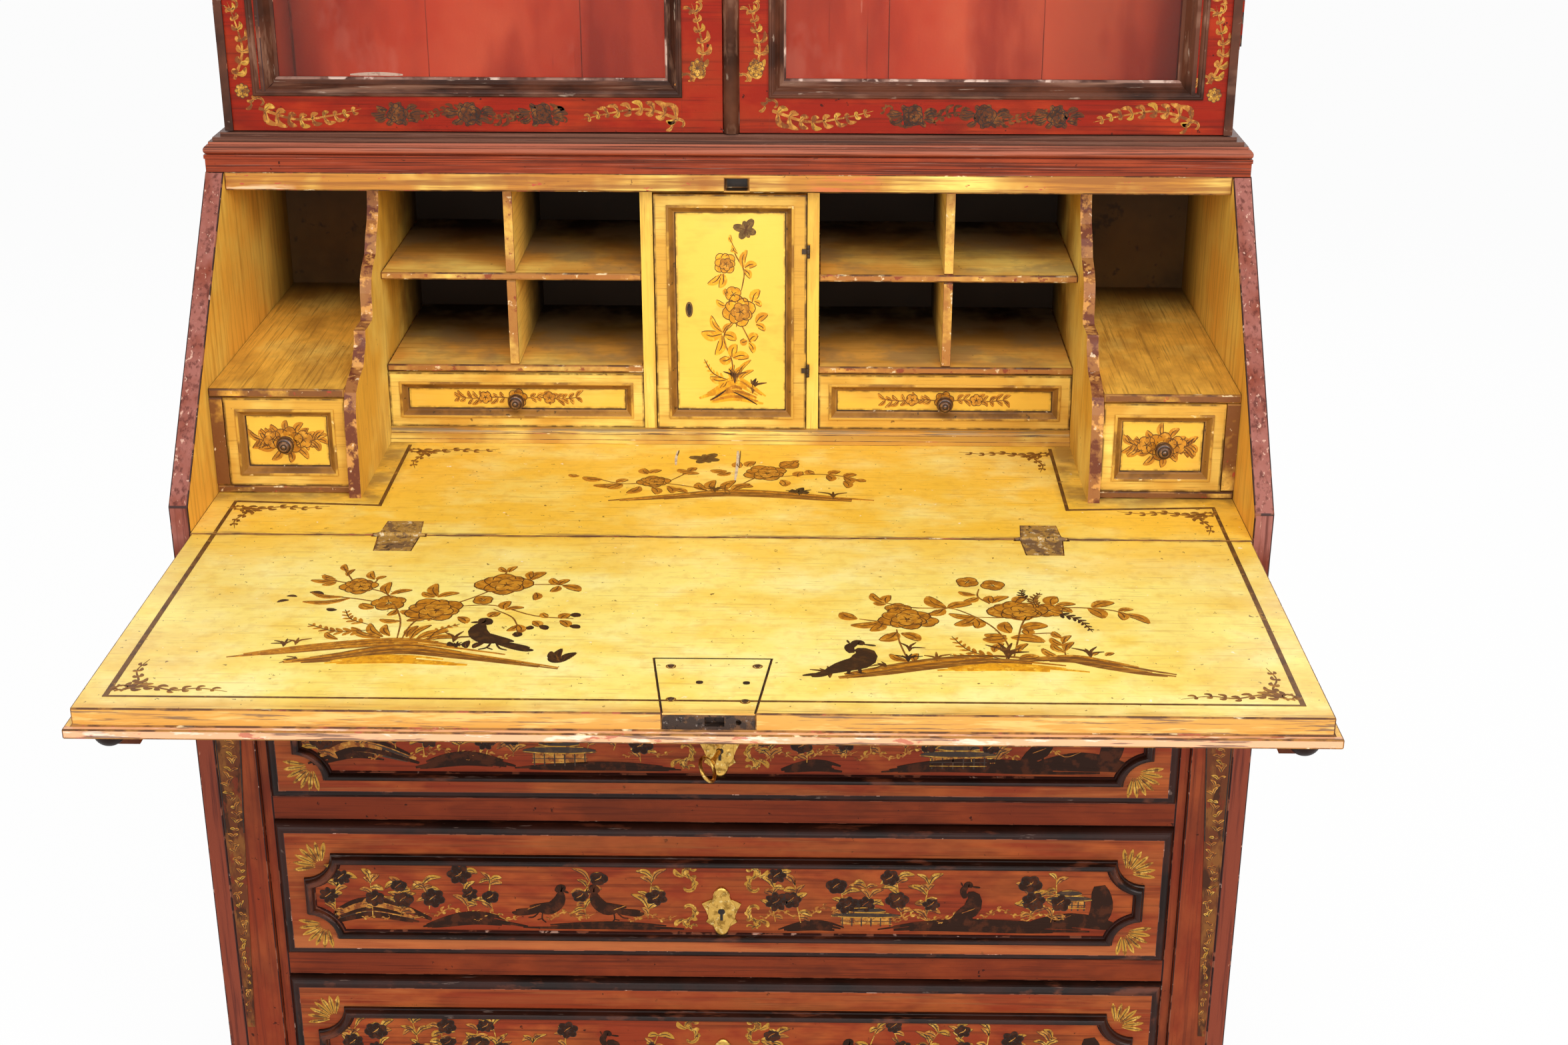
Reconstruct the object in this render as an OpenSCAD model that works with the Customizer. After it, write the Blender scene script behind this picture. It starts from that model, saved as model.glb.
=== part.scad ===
// Bureau cabinet: desk with an open fall on two lopers, upper cabinet with glazed doors.
// Millimetres. +Z up, front toward -Y. Shown as photographed: fall open, everything else shut.
// Most sizes are measured from the bed: hinge line of the fall at y = 0, writing surface at z = 0.

/* [Overall size] */
// Outside width of the desk body
body_w = 1120; // [960:5:1350]
// Depth from the hinge line of the fall to the back face
body_d = 528; // [440:2:640]
// Height of the writing surface above the floor
bed_h = 800; // [660:5:960]
// Height of the upper cabinet between waist moulding and cornice
upper_h = 1011; // [800:5:1250]
// Thickness of the side boards
side_t = 20; // [14:1:28]

/* [Desk interior] */
// Clear height from the writing surface to the desk top board
desk_h = 294; // [280:1:330]
// Slope of the front edge above horizontal, degrees
slope = 48.6; // [44:0.1:54]
// Height of the open pigeonhole row's lower shelf
low_shelf_z = 82; // [70:1:100]
// Height of the second shelf
mid_shelf_z = 188.5; // [160:0.5:210]
// Thickness of shelves and dividers
shelf_t = 8.5; // [6:0.5:12]
// Width of each outer housing between partition and side board
housing_w = 143; // [120:1:170]
// Height of the outer housings
housing_h = 117; // [100:1:140]

/* [Fall] */
// Length of the fall from hinge line to front edge
fall_l = 392; // [380:1:400]
// Thickness of fall and bed boards
bed_t = 26; // [22:1:32]
// How far the lip overhangs the board at the sides and front
lip = 7; // [4:0.5:10]

/* [Chest] */
// Height of the feet
foot_h = 50; // [30:1:90]
// Height of the base moulding
base_h = 33; // [24:1:60]
// Height of the frieze between writing surface and top drawer
frieze_h = 114; // [100:1:130]
// Thickness of the rails between the long drawers
rail_t = 29; // [20:1:40]
// Length of the lopers
loper_l = 475; // [360:5:520]

/* [Upper cabinet] */
// Thickness of the upper doors
door_t = 22; // [18:0.5:28]
// Width of the outer stiles and of the bottom and top rails
stile_w = 42.5; // [34:0.5:60]
// Projection of the cornice
cornice_out = 50; // [30:1:70]

/* [Hidden] */
hw = body_w / 2;
ix = hw - side_t;
hinge_y = (fall_l - body_d) / 2;
front_y = 2;
back_t = 15;
by = body_d - back_t;
top_t = 20;
top_z = desk_h + top_t;
// Height of the slope's foot: the inner face of the closed fall's lip, less the gap it keeps
fall_rest = 0.07503;
slope_z = front_y * tan(slope) + (bed_t - 9) / cos(slope) - fall_rest;
top_y = front_y + (top_z - slope_z) / tan(slope);
part_x = ix - housing_w - 12.5;
part_o = part_x + 12.5;
block_y = 278;
wall_l = -96;
wall_r = 99.5;
house_y = 112;
waist_h = 39.6;
up_z = top_z + waist_h;
up_top = up_z + upper_h;
up_x = hw - 21.5;
up_y = 271;
floor_z = -bed_h;
base_z = floor_z + foot_h;
chest_z = base_z + base_h;
drawer_top = -bed_t - frieze_h - 1;
drawer_pitch = (drawer_top - chest_z - 12 + rail_t + 2) / 3;
drawer_h = drawer_pitch - rail_t - 2;
open_x = hw - 74.5;
ring_x = open_x - 28.5;
joint = 0.05;
// Height of each keyhole over the lower edge of its drawer
key_up = 66.3333;
key_z = drawer_top - drawer_h + key_up;
lean = 15;
loper_in = ix - 35;
hinge_x = 326 * hw / 560;
pin_x = wall_r - 11.9;
pin_y = block_y - 6.8;
pin_z = [87.7, 224.5];
axis_out = 3.4;

module at_bed() {
    translate([0, hinge_y, bed_h]) children();
}
module box(x0, x1, y0, y1, z0, z1) {
    translate([x0, y0, z0]) cube([x1 - x0, y1 - y0, z1 - z0]);
}
module both() {
    children();
    mirror([1, 0, 0]) children();
}
// Outline in (y, z) carried along x
module along_x(x0, x1) {
    translate([x0, 0, 0]) rotate([90, 0, 90]) linear_extrude(x1 - x0) children();
}
// Outline in (x, z) carried along y
module along_y(y0, y1) {
    translate([0, y1, 0]) rotate([90, 0, 0]) linear_extrude(y1 - y0) children();
}
// One length of a mitred frame: outline in (y, inward distance), outer edge on z = 0
module mitred_length(l, w) {
    intersection() {
        along_x(0, l) children();
        along_y(-500, 500) polygon([[joint, 0], [l - joint, 0], [l - w - joint, w], [w + joint, w]]);
    }
}
// Rectangle of four mitred lengths in the plane of x and z
module mitred_frame(x0, x1, z0, z1, w) {
    lx = x1 - x0;
    lz = z1 - z0;
    translate([x0, 0, z0]) {
        mitred_length(lx, w) children();
        translate([0, 0, lz]) mirror([0, 0, 1]) mitred_length(lx, w) children();
        mirror([1, 0, -1]) mitred_length(lz, w) children();
        translate([lx, 0, 0]) mirror([1, 0, 0]) mirror([1, 0, -1]) mitred_length(lz, w) children();
    }
}
// Moulding round front and sides: outline in (inward distance, z), mitred at the front corners
module case_band(hx, yf, yb, w) {
    intersection() {
        translate([0, yf, 0]) along_x(-hx, hx) children();
        translate([0, 0, -2000]) linear_extrude(4000)
            polygon([[joint - hx, yf], [hx - joint, yf], [hx - w - joint, yf + w], [w - hx + joint, yf + w]]);
    }
    both() intersection() {
        translate([hx, 0, 0]) along_y(yf, yb) mirror([1, 0]) children();
        translate([0, 0, -2000]) linear_extrude(4000)
            polygon([[hx, yf], [hx, yb], [hx - w, yb], [hx - w, yf + w]]);
    }
}
// Rectangle with quarter circles scooped out of its corners, the scoops centred on the
// corners of a larger rectangle lying "inset" outside
module scooped(x, z, r, inset) {
    difference() {
        square([2 * x, 2 * z], center = true);
        for (sx = [-1, 1], sz = [-1, 1])
            translate([sx * (x + inset), sz * (z + inset)]) circle(r = r, $fn = 64);
    }
}
// Framed front with a sunk panel: frame boards, mitred moulding, panel
module framed_front(x0, x1, z0, z1, y0, t, mx, mz, deep) {
    a = x0 + mx;
    b = x1 - mx;
    c = z0 + mz;
    d = z1 - mz;
    box(x0, a, y0, y0 + t, z0, z1);
    box(b, x1, y0, y0 + t, z0, z1);
    box(a, b, y0, y0 + t, z0, c);
    box(a, b, y0, y0 + t, d, z1);
    mitred_frame(a, b, c, d, 9)
        polygon([[y0 + t, 0], [y0 - 1.5, 0], [y0 - 1.5, 2], [y0 + deep - 1, 8], [y0 + deep, 9], [y0 + t, 9]]);
    box(a + 9, b - 9, y0 + deep, y0 + t, c + 9, d - 9);
}
// Open box of a drawer behind its front
module drawer_box(x0, x1, z0, z1, y0, y1, t) {
    box(x0, x0 + t, y0, y1, z0, z1);
    box(x1 - t, x1, y0, y1, z0, z1);
    box(x0 + t + joint, x1 - t - joint, y1 - t, y1, z0, z1);
    box(x0 + t + joint, x1 - t - joint, y0, y1 - t - joint, z0, z0 + 0.6 * t);
}
// Turned knob on an axis toward -y, its stem starting at y = 0
module knob(r, l) {
    rotate([90, 0, 0]) rotate_extrude($fn = 48) {
        square([0.45 * r, l - r]);
        square([0.75 * r, 0.2 * r]);
        translate([0, l - 1.45 * r]) square([0.7 * r, 0.2 * r]);
        intersection() {
            translate([0, l - r]) circle(r = r, $fn = 48);
            translate([0, l - 2 * r]) square([2 * r, 2 * r]);
        }
    }
}

// Fixed boards of the desk body

module side_boards() {
    color("goldenrod") at_bed() both() along_x(ix, hw)
        polygon([[front_y, base_z], [body_d - back_t, base_z], [body_d - back_t, top_z],
            [top_y, top_z], [front_y, slope_z]]);
}
module desk_top() {
    color("goldenrod") at_bed() difference() {
        box(-ix, ix, top_y, by, desk_h, top_z);
        box(-2, 23, top_y - 1, top_y + 15, desk_h + 2, desk_h + 15);
    }
}
module hinge_notches() {
    both() box(hinge_x - 27, hinge_x + 27, -3.5, 3.5, -3.5, 1);
}
// Outline of a hinge leaf in plan, from the hinge line away, "s" is +1 behind and -1 in front
module leaf_outline(s, l) {
    polygon([[hinge_x - 20.5, s * 3.5], [hinge_x + 20.5, s * 3.5], [hinge_x + 18, s * l], [hinge_x - 18, s * l]]);
}
module leaf_recess(s, l) {
    both() translate([0, 0, -2]) linear_extrude(4) leaf_outline(s, l);
}
module bed_boards() {
    color("goldenrod") at_bed() {
        difference() {
            box(-ix, ix, 0.5, 87, -bed_t, 0);
            hinge_notches();
            leaf_recess(1, 36);
        }
        box(-ix, ix, 87, by, -bed_t, 0);
    }
}
module back_boards() {
    color("sienna") at_bed() for (i = [0:5]) {
        w = 2 * hw / 6;
        box(-hw + i * w, -hw + (i + 1) * w, by, body_d, base_z, top_z);
    }
}
module front_rails() {
    color("goldenrod") at_bed() {
        difference() {
            box(-open_x - 11.5, open_x + 11.5, 8, 30, drawer_top + 1, -bed_t);
            box(-13, 9, 21, 29, drawer_top, drawer_top + 9);
        }
        for (i = [1:2]) {
            z = drawer_top - i * drawer_pitch;
            box(-open_x - 0.5, open_x + 0.5, 8, 30, z + 1, z + 1 + rail_t);
        }
        box(-open_x - 11.5, open_x + 11.5, 8, 30, base_z, chest_z + 11);
    }
}
module corner_stiles() {
    color("goldenrod") at_bed() both() {
        box(open_x + 0.5 + joint, open_x + 11.5, 8, 30, chest_z + 11, drawer_top + 1);
        box(open_x + 11.5 + joint, ix, front_y, 30, base_z, -bed_t - 63);
        box(open_x + 11.5 + joint, ix - 23.5, front_y, 30, -bed_t - 63 + joint, -bed_t);
    }
}
module gilt_strips() {
    color("gold") at_bed() both() along_y(front_y - 0.8, front_y)
        polygon([[ix, -bed_t - 66], [ix - 38, -bed_t - 66], [ix - 22, -353], [ix - 10, base_z + 146], [ix - 2, base_z + 146]]);
}
module dust_boards() {
    color("sienna") at_bed() {
        for (i = [0:3]) {
            z = i == 3 ? chest_z + 11 : (i == 0 ? drawer_top + 13 : drawer_top - i * drawer_pitch + 1 + rail_t);
            box(-ix, ix, 30, by, z - 12, z);
        }
        for (i = [0:2]) both() {
            z = drawer_top - i * drawer_pitch;
            box(open_x + 0.5, open_x + 14, 30, by, z - drawer_h - 1 + joint, z - drawer_h + 50);
        }
    }
}
module loper_cases() {
    color("sienna") at_bed() both() {
        box(loper_in, ix - 23.5, 30, by, drawer_top + 13, -bed_t);
        box(ix - 23.5 + joint, ix, 30, by, -bed_t - 75, -bed_t - 63);
    }
}
module base_moulding() {
    color("black") at_bed() case_band(hw + 15, front_y - 15, body_d, 15)
        polygon([[0, base_z], [0, base_z + 12], [2.5, base_z + 14], [4, base_z + 19], [9, base_z + 24],
            [11, base_z + 30], [11, base_z + base_h], [15, base_z + base_h], [15, base_z]]);
}
module feet() {
    color("black") at_bed() for (y = [front_y + 32, body_d - 52]) both()
        translate([hw - 36, y, floor_z]) rotate_extrude($fn = 64) {
            square([26, foot_h]);
            translate([22, 0.42 * foot_h]) circle(r = 0.42 * foot_h, $fn = 48);
            square([34, 5]);
        }
}
module waist_moulding() {
    color("firebrick") at_bed() case_band(hw - 0.5, top_y - 2, body_d, 34) {
        translate([0, top_z]) polygon([[1, 0], [1, 14], [0, 14.4], [0, 18.4], [3, 18.4], [3, 28.5], [5, 28.5],
            [5, 31.6], [9, 31.6], [9, 35.6], [16, 35.6], [16, waist_h], [34, waist_h], [34, 0]]);
        translate([5, top_z + 23.4]) circle(r = 5.1, $fn = 48);
    }
    color("firebrick") at_bed() box(34.5 - hw, hw - 34.5, top_y + 32, by, top_z, top_z + 12);
}

// Upper cabinet

module upper_sides() {
    color("goldenrod") at_bed() both() box(up_x - 20, up_x, up_y + door_t + 0.6, by, up_z, up_top);
}
module upper_boards() {
    color("firebrick") at_bed() {
        box(20 - up_x, up_x - 20, up_y + door_t + 0.6, by, up_z, up_z + 12.4);
        box(20 - up_x, up_x - 20, up_y + door_t + 0.6, by, up_top - 20, up_top);
        for (f = [0.34, 0.67]) {
            z = up_z + f * upper_h;
            box(20 - up_x, up_x - 20, up_y + door_t + 10, by, z - 14, z);
        }
    }
}
module upper_back() {
    // Six planks that meet on whole half millimetres
    edges = [for (i = [0:6]) round(2 * up_x * (i / 3 - 1)) / 2];
    color("firebrick") at_bed() for (i = [0:5]) box(edges[i], edges[i + 1], by, body_d, up_z, up_top);
}
module cornice() {
    o = cornice_out;
    color("firebrick") at_bed() case_band(up_x + o, up_y - 4 - o, body_d, o + 18) difference() {
        translate([0, up_top]) polygon([[0, 69.5], [0, 60], [3, 58], [3, 50], [6, 46], [o - 4, 12],
            [o - 4, 8], [o - 1, 5], [o - 1, 0], [o + 18, 0], [o + 18, 69.5]]);
        translate([o - 44, up_top + 12]) circle(r = 34, $fn = 64);
    }
}
module cornice_top() {
    color("sienna") at_bed() {
        box(18 - up_x, up_x - 18, up_y + 14, body_d, up_top + 60, up_top + 70);
        both() box(up_x - 34, up_x - 18, up_y + 30, body_d, up_top, up_top + 60);
        box(34 - up_x, up_x - 34, body_d - 15, body_d, up_top, up_top + 60);
        box(34 - up_x, up_x - 34, up_y + 30, up_y + 46, up_top, up_top + 60);
    }
}
function hinge_z(i) = up_z + (0.12 + 0.76 * i) * upper_h;
// Knuckles of a small butt hinge at height z: "odd" gives the three of the case
module knuckles(z, odd) {
    for (k = odd ? [0, 2, 4] : [1, 3]) translate([0, 0, z - 30 + 12 * k + 0.2])
        cylinder(r = 3, h = 11.6, $fn = 32);
}
module upper_hinges() {
    color("silver") at_bed() both() for (i = [0, 1]) {
        z = hinge_z(i);
        translate([up_x + axis_out, up_y + door_t + 0.3, 0]) knuckles(z, true);
        box(up_x, up_x + 1.5, up_y + door_t + 4, up_y + door_t + 20, z - 30, z + 30);
        for (k = [0, 2, 4])
            box(up_x, up_x + axis_out, up_y + door_t + 0.6, up_y + door_t + 4, z - 29.8 + 12 * k, z - 18.2 + 12 * k);
    }
}

// Desk interior

// Front edge of a scrolled partition, bottom to top
module partition_outline() {
    k = desk_h;
    difference() {
        polygon([[99, 0], [104, 79], [106, 96], [114, 113], [131, 121], [158, 127], [172, 141], [178, 160],
            [218, 160], [224, 166], [225, 188], [230, 203], [242, 213], [262, 222], [267, 229],
            [274, 240], [287, 253], [294, 266], [298, 281], [298, k], [by, k], [by, 0]]);
        translate([158, 158]) circle(r = 22, $fn = 48);
        translate([204, 213]) circle(r = 24, $fn = 48);
    }
}
module partitions() {
    color("tan") at_bed() both() along_x(part_x, part_o) partition_outline();
}
module housings() {
    color("goldenrod") at_bed() both() {
        box(part_o, ix, house_y, by, housing_h - 9.5, housing_h);
        box(part_o, ix, house_y, by, 0, 8.4);
        box(ix - 14, ix, house_y, by, 8.4 + joint, housing_h - 9.5 - joint);
    }
}
module block_shelves() {
    color("goldenrod") at_bed() {
        for (z = [low_shelf_z, mid_shelf_z]) {
            box(-part_x, wall_l, block_y, by, z, z + shelf_t);
            box(wall_r, part_x, block_y, by, z, z + shelf_t);
        }
    }
}
module dividers() {
    m = (part_x - wall_l) / 2;
    n = (part_x + wall_r) / 2;
    color("goldenrod") at_bed() for (c = [-m, n]) {
        box(c - 5, c + 5, block_y, by, low_shelf_z + shelf_t, mid_shelf_z);
        box(c - 5, c + 5, block_y, by, mid_shelf_z + shelf_t, desk_h);
    }
}
module cupboard_walls() {
    color("goldenrod") at_bed() {
        box(wall_l, wall_l + 13.5, block_y - 1, by, 17, desk_h);
        box(wall_r - 13, wall_r, block_y - 1, by, 17, desk_h);
        box(wall_l + 13.5 + joint, wall_r - 13 - joint, block_y - 1, by, desk_h - 5.5, desk_h);
    }
    color("dimgray") at_bed() for (z = pin_z, s = [-5.2, 5.2]) {
        translate([pin_x, pin_y, z + s - 2]) cylinder(r = 2, h = 4, $fn = 32);
        box(pin_x, pin_x + 2, pin_y - 0.5, block_y - 1, z + s - 2, z + s + 2);
    }
}
module plinth() {
    color("goldenrod") at_bed() {
        box(-part_x, part_x, block_y, by, 0, 16.6);
        along_x(-part_x, part_x)
            polygon([[block_y, 0], [269, 0], [269, 5], [271, 6.5], [275.5, 9.5], [276.5, 13], [275, 16.6], [block_y, 16.6]]);
        box(wall_l, wall_r, block_y, by, 16.6, 17);
    }
}

// Fall and its hinges

module pin_knuckles(odd) {
    for (k = odd ? [0, 2, 4] : [1, 3]) translate([hinge_x - 20.5 + 8.2 * k + 0.15, 0, 0])
        rotate([0, 90, 0]) cylinder(r = 3, h = 7.9, $fn = 32);
}
module hinge_leaf(s, l, odd) {
    difference() {
        translate([0, 0, -2]) linear_extrude(2) leaf_outline(s, l);
        for (p = [[-11, 0.5], [11, 0.5], [0, 0.82]])
            translate([hinge_x + p[0], s * p[1] * l, -0.6]) cylinder(r = 3, h = 2, $fn = 24);
    }
    for (p = [[-11, 0.5], [11, 0.5], [0, 0.82]])
        translate([hinge_x + p[0], s * p[1] * l, -0.6]) cylinder(r = 2.8, h = 0.5, $fn = 24);
    for (k = odd ? [0, 2, 4] : [1, 3])
        box(hinge_x - 20.5 + 8.2 * k + 0.15, hinge_x - 12.3 + 8.2 * k - 0.15, min(0, s * 3.5), max(0, s * 3.5), -2, -0.5);
    pin_knuckles(odd);
}
module bed_hinges() {
    color("dimgray") at_bed() both() {
        hinge_leaf(1, 36, true);
        for (s = [-1, 1])
            translate([hinge_x + s * 20.3, 0, 0]) rotate([0, s * 90, 0]) cylinder(r1 = 2.9, r2 = 1, h = 6, $fn = 32);
    }
}
module fall_hinges() {
    color("dimgray") at_bed() both() hinge_leaf(-1, 40, false);
}
module cover_outline(g) {
    polygon([[-47 - g, -280 + g], [58 + g, -280 + g], [46 + g, 7 - fall_l], [-33 - g, 7 - fall_l]]);
}
module fall_board() {
    e = ix - 1.5;
    f = fall_l - lip;
    color("goldenrod") at_bed() {
        difference() {
            box(-e, e, -f, -1, -bed_t + 9, 0);
            hinge_notches();
            leaf_recess(-1, 40);
            translate([0, 0, -1.6]) linear_extrude(4) cover_outline(0);
            box(-33, 46, -f - 1, -f + 40, -15.6, -1.6);
        }
        difference() {
            box(-e - lip, e + lip, -fall_l, -1, -bed_t, -bed_t + 9);
            hinge_notches();
        }
    }
}
module lock_cover() {
    color("saddlebrown") at_bed() {
        difference() {
            translate([0, 0, -1.6]) linear_extrude(1.6) cover_outline(0);
            for (p = [[-4, -327], [37, -327.5]]) translate([p[0], p[1], -5]) cylinder(r = 2.5, h = 10, $fn = 24);
        }
        for (p = [[-31, -296], [46, -295], [-27, -360], [37, -363]])
            translate([p[0], p[1], 0]) cylinder(r = 3.2, h = 0.7, $fn = 24);
    }
}
module fall_lock() {
    f = fall_l - lip;
    color("dimgray") at_bed() difference() {
        box(-33, 46, -f, -f + 40, -15.6, -1.6);
        box(3, 20, -f - 1, -f + 8, -12.6, -3.6);
        translate([32, -f + 6, -8.6]) rotate([90, 0, 0]) cylinder(r = 2.5, h = 8, $fn = 24);
    }
}
module loper() {
    color("goldenrod") box(ix - 22.8, ix - 0.4, -285, loper_l - 285, -bed_t - 62.4, -bed_t - 0.4);
    color("black") translate([hw - 31.5, -285, -bed_t - 26]) knob(15, 55);
}
module right_loper() {
    at_bed() loper();
}
module left_loper() {
    at_bed() mirror([1, 0, 0]) loper();
}

// Long drawers: i counts from the top

module long_front(i) {
    zt = drawer_top - i * drawer_pitch;
    zb = zt - drawer_h;
    color("goldenrod") at_bed() difference() {
        union() {
            box(-open_x + 10, open_x - 10, -2, 18, zb + 10, zt - 10);
            translate([0, 0, (zb + zt) / 2 - 5]) along_y(-5, 0)
                scooped(ring_x - 12, drawer_h / 2 - 42, 43, 12);
        }
        translate([-2, 0, zb + key_up]) rotate([90, 0, 0]) translate([0, 0, -30]) cylinder(r = 7, h = 50, $fn = 32);
    }
}
module long_moulding(i) {
    zt = drawer_top - i * drawer_pitch;
    zb = zt - drawer_h;
    color("black") at_bed() {
        mitred_frame(-open_x, open_x, zb, zt, 10) union() {
            translate([8, 0]) square([10, 10]);
            intersection() {
                translate([8, 10]) circle(r = 10, $fn = 48);
                translate([-2, 0]) square([10, 10]);
            }
        }
        translate([0, 0, (zb + zt) / 2 - 5]) for (s = [[0, 12, 4], [3, 12, 8], [6, 12, 11]])
            along_y(-2 - s[2], s[2] == 4 ? -2 : -2 - s[2] + 4) difference() {
                scooped(ring_x - s[0], drawer_h / 2 - 30 - s[0], 31 + s[0], s[0]);
                scooped(ring_x - 12, drawer_h / 2 - 42, 43, 12);
            }
    }
}
module long_box(i) {
    zt = drawer_top - i * drawer_pitch;
    zb = zt - drawer_h;
    color("tan") at_bed() drawer_box(1 - open_x, open_x - 1, zb - 0.5, zt - 4, 18 + joint, by - 24, 12);
}
module plate_outline() {
    difference() {
        union() {
            translate([0, 19]) circle(r = 9, $fn = 48);
            polygon([[-12, 14], [12, 14], [21.5, 9], [17, 0], [14, -9], [17, -14], [6, -22], [-6, -22],
                [-17, -14], [-14, -9], [-17, 0], [-21.5, 9]]);
            translate([0, -21]) circle(r = 7, $fn = 48);
        }
        circle(r = 3.5, $fn = 32);
        translate([-1.4, -10]) square([2.8, 8]);
    }
}
module long_lock(i) {
    zt = drawer_top - i * drawer_pitch;
    keyhole_z = zt - drawer_h + key_up;
    color("gold") at_bed() {
        translate([-2, 0, keyhole_z]) along_y(-6.5, -5) plate_outline();
        difference() {
            box(-42, 38, 18, 32, keyhole_z - 23, zt - 3);
            translate([-2, 40, keyhole_z]) rotate([90, 0, 0]) cylinder(r = 4.5, h = 40, $fn = 32);
            box(-12, 8, 22, 28, zt - 40, zt);
        }
    }
}
module drawer_1_bolt() {
    color("silver") at_bed() box(-11.6, 7.6, 22.4, 27.6, drawer_top - 39.6, drawer_top - 3);
}
// Key leaning to the left in the top drawer's lock
module key() {
    color("gold") at_bed() translate([-2, -6, key_z]) rotate([0, 0, -lean]) {
        translate([0, 13, 0]) rotate([90, 0, 0]) cylinder(r = 2.6, h = 43, $fn = 32);
        translate([0, -26, 0]) rotate([90, 0, 0]) cylinder(r = 4, h = 3, $fn = 32);
        translate([0, -43, 0]) rotate([0, 60, 0]) rotate_extrude($fn = 48) translate([13, 0]) circle(r = 2, $fn = 24);
    }
}
module drawer_1_front() { long_front(0); }
module drawer_2_front() { long_front(1); }
module drawer_3_front() { long_front(2); }
module drawer_1_moulding() { long_moulding(0); }
module drawer_2_moulding() { long_moulding(1); }
module drawer_3_moulding() { long_moulding(2); }
module drawer_1_box() { long_box(0); }
module drawer_2_box() { long_box(1); }
module drawer_3_box() { long_box(2); }
module drawer_1_lock() { long_lock(0); }
module drawer_2_lock() { long_lock(1); }
module drawer_3_lock() { long_lock(2); }

// Small drawers of the desk interior

module small_drawer(x0, x1, z0, z1, y0, depth, my) {
    color("gold") framed_front(x0, x1, z0, z1, y0, 13, 12, my, 6);
    color("tan") drawer_box(x0 + 1, x1 - 1, z0, z1 - 3, y0 + 13 + joint, y0 + depth, 7);
    color("black") translate([(x0 + x1) / 2, y0 + 6, (z0 + z1) / 2]) knob(7.5, 21);
}
module left_block_drawer() {
    at_bed() small_drawer(-part_x + 1, wall_l - 0.8, 17.2, low_shelf_z - 1.4, block_y, by - block_y - 12, 11);
}
module right_block_drawer() {
    at_bed() small_drawer(wall_r + 0.8, part_x - 1, 17.2, low_shelf_z - 1.4, block_y, by - block_y - 12, 11);
}
module right_house_drawer() {
    at_bed() small_drawer(part_o + 1, ix - 15, 9, housing_h - 10.5, house_y, by - house_y - 30, 12);
}
module left_house_drawer() {
    at_bed() small_drawer(-ix + 15, -part_o - 1, 9, housing_h - 10.5, house_y, by - house_y - 30, 12);
}
module cupboard_door() {
    x0 = wall_l + 15;
    x1 = wall_r - 14;
    color("gold") at_bed() difference() {
        framed_front(x0, x1, 18.5, desk_h - 7, block_y - 5, 14, 14, 12, 6);
        translate([x0 + 37, block_y + 12, 155]) rotate([90, 0, 0]) cylinder(r = 2, h = 30, $fn = 24);
    }
    color("dimgray") at_bed() for (z = pin_z) {
        translate([pin_x, pin_y, z - 2.8]) cylinder(r = 2, h = 5.6, $fn = 32);
        box(pin_x - 7, pin_x, pin_y, block_y - 5, z - 2.8, z + 2.8);
    }
}

// Upper doors: s is -1 for the left door and +1 for the right

module door_frame(s) {
    a = s < 0 ? 4.5 : -3.5;
    o = up_x - 0.5;
    m = s < 0 ? 48 : 45;
    z0 = up_z + 1.5;
    z1 = up_top - 1.5;
    mirror([s < 0 ? 1 : 0, 0, 0]) {
        box(o - stile_w, o, up_y, up_y + door_t, z0, z1);
        box(a, m, up_y, up_y + door_t, z0, z1);
        box(m + joint, o - stile_w - joint, up_y, up_y + door_t, z0, z0 + stile_w - 4.5);
        box(m + joint, o - stile_w - joint, up_y, up_y + door_t, z1 - stile_w + 4.5, z1);
    }
}
module door_moulding(s) {
    o = up_x - 0.5;
    m = s < 0 ? 48 : 45;
    z0 = up_z + 1.5 + stile_w - 4.5;
    z1 = up_top - 1.5 - stile_w + 4.5;
    mirror([s < 0 ? 1 : 0, 0, 0]) {
        mitred_frame(m, o - stile_w, z0, z1, 17.5)
            polygon([[up_y + door_t, 0], [up_y - 2, 0], [up_y - 2, 4], [up_y + 3, 9], [up_y + 10, 14],
                [up_y + 12, 17.5], [up_y + 13, 17.5], [up_y + 13, 9.5], [up_y + door_t, 9.5]]);
        translate([o - 9, 0, 0]) box(0, 9, up_y - 3, up_y, up_z + 1.5, up_top - 1.5);
    }
    if (s > 0) translate([4.75, up_y, 0]) intersection() {
        translate([0, 2, up_z + 1.5]) cylinder(r = 9, h = upper_h - 3, $fn = 48);
        translate([-8.25, -10, up_z]) cube([17, 10, upper_h]);
    }
}
module door_glass(s) {
    o = up_x - 0.5;
    m = s < 0 ? 48 : 45;
    z0 = up_z + 1.5 + stile_w - 4.5;
    z1 = up_top - 1.5 - stile_w + 4.5;
    mirror([s < 0 ? 1 : 0, 0, 0])
        box(m + 9.5, o - stile_w - 9.5, up_y + 13, up_y + 16, z0 + 9.5, z1 - 9.5);
}
module door_hinges(s) {
    mirror([s < 0 ? 1 : 0, 0, 0]) for (i = [0, 1]) {
        z = hinge_z(i);
        translate([up_x + axis_out, up_y + door_t + 0.3, 0]) knuckles(z, false);
        box(up_x - 0.5, up_x + 1, up_y + 3, up_y + door_t - 3.3, z - 30, z + 30);
        for (k = [1, 3])
            box(up_x - 0.5, up_x + axis_out, up_y + door_t - 3.3, up_y + door_t, z - 29.8 + 12 * k, z - 18.2 + 12 * k);
    }
}
module left_door() {
    color("firebrick") at_bed() door_frame(-1);
    color("silver") at_bed() door_hinges(-1);
}
module right_door() {
    color("firebrick") at_bed() door_frame(1);
    color("silver") at_bed() door_hinges(1);
}
module left_door_moulding() { color("goldenrod") at_bed() door_moulding(-1); }
module right_door_moulding() { color("goldenrod") at_bed() door_moulding(1); }
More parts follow.
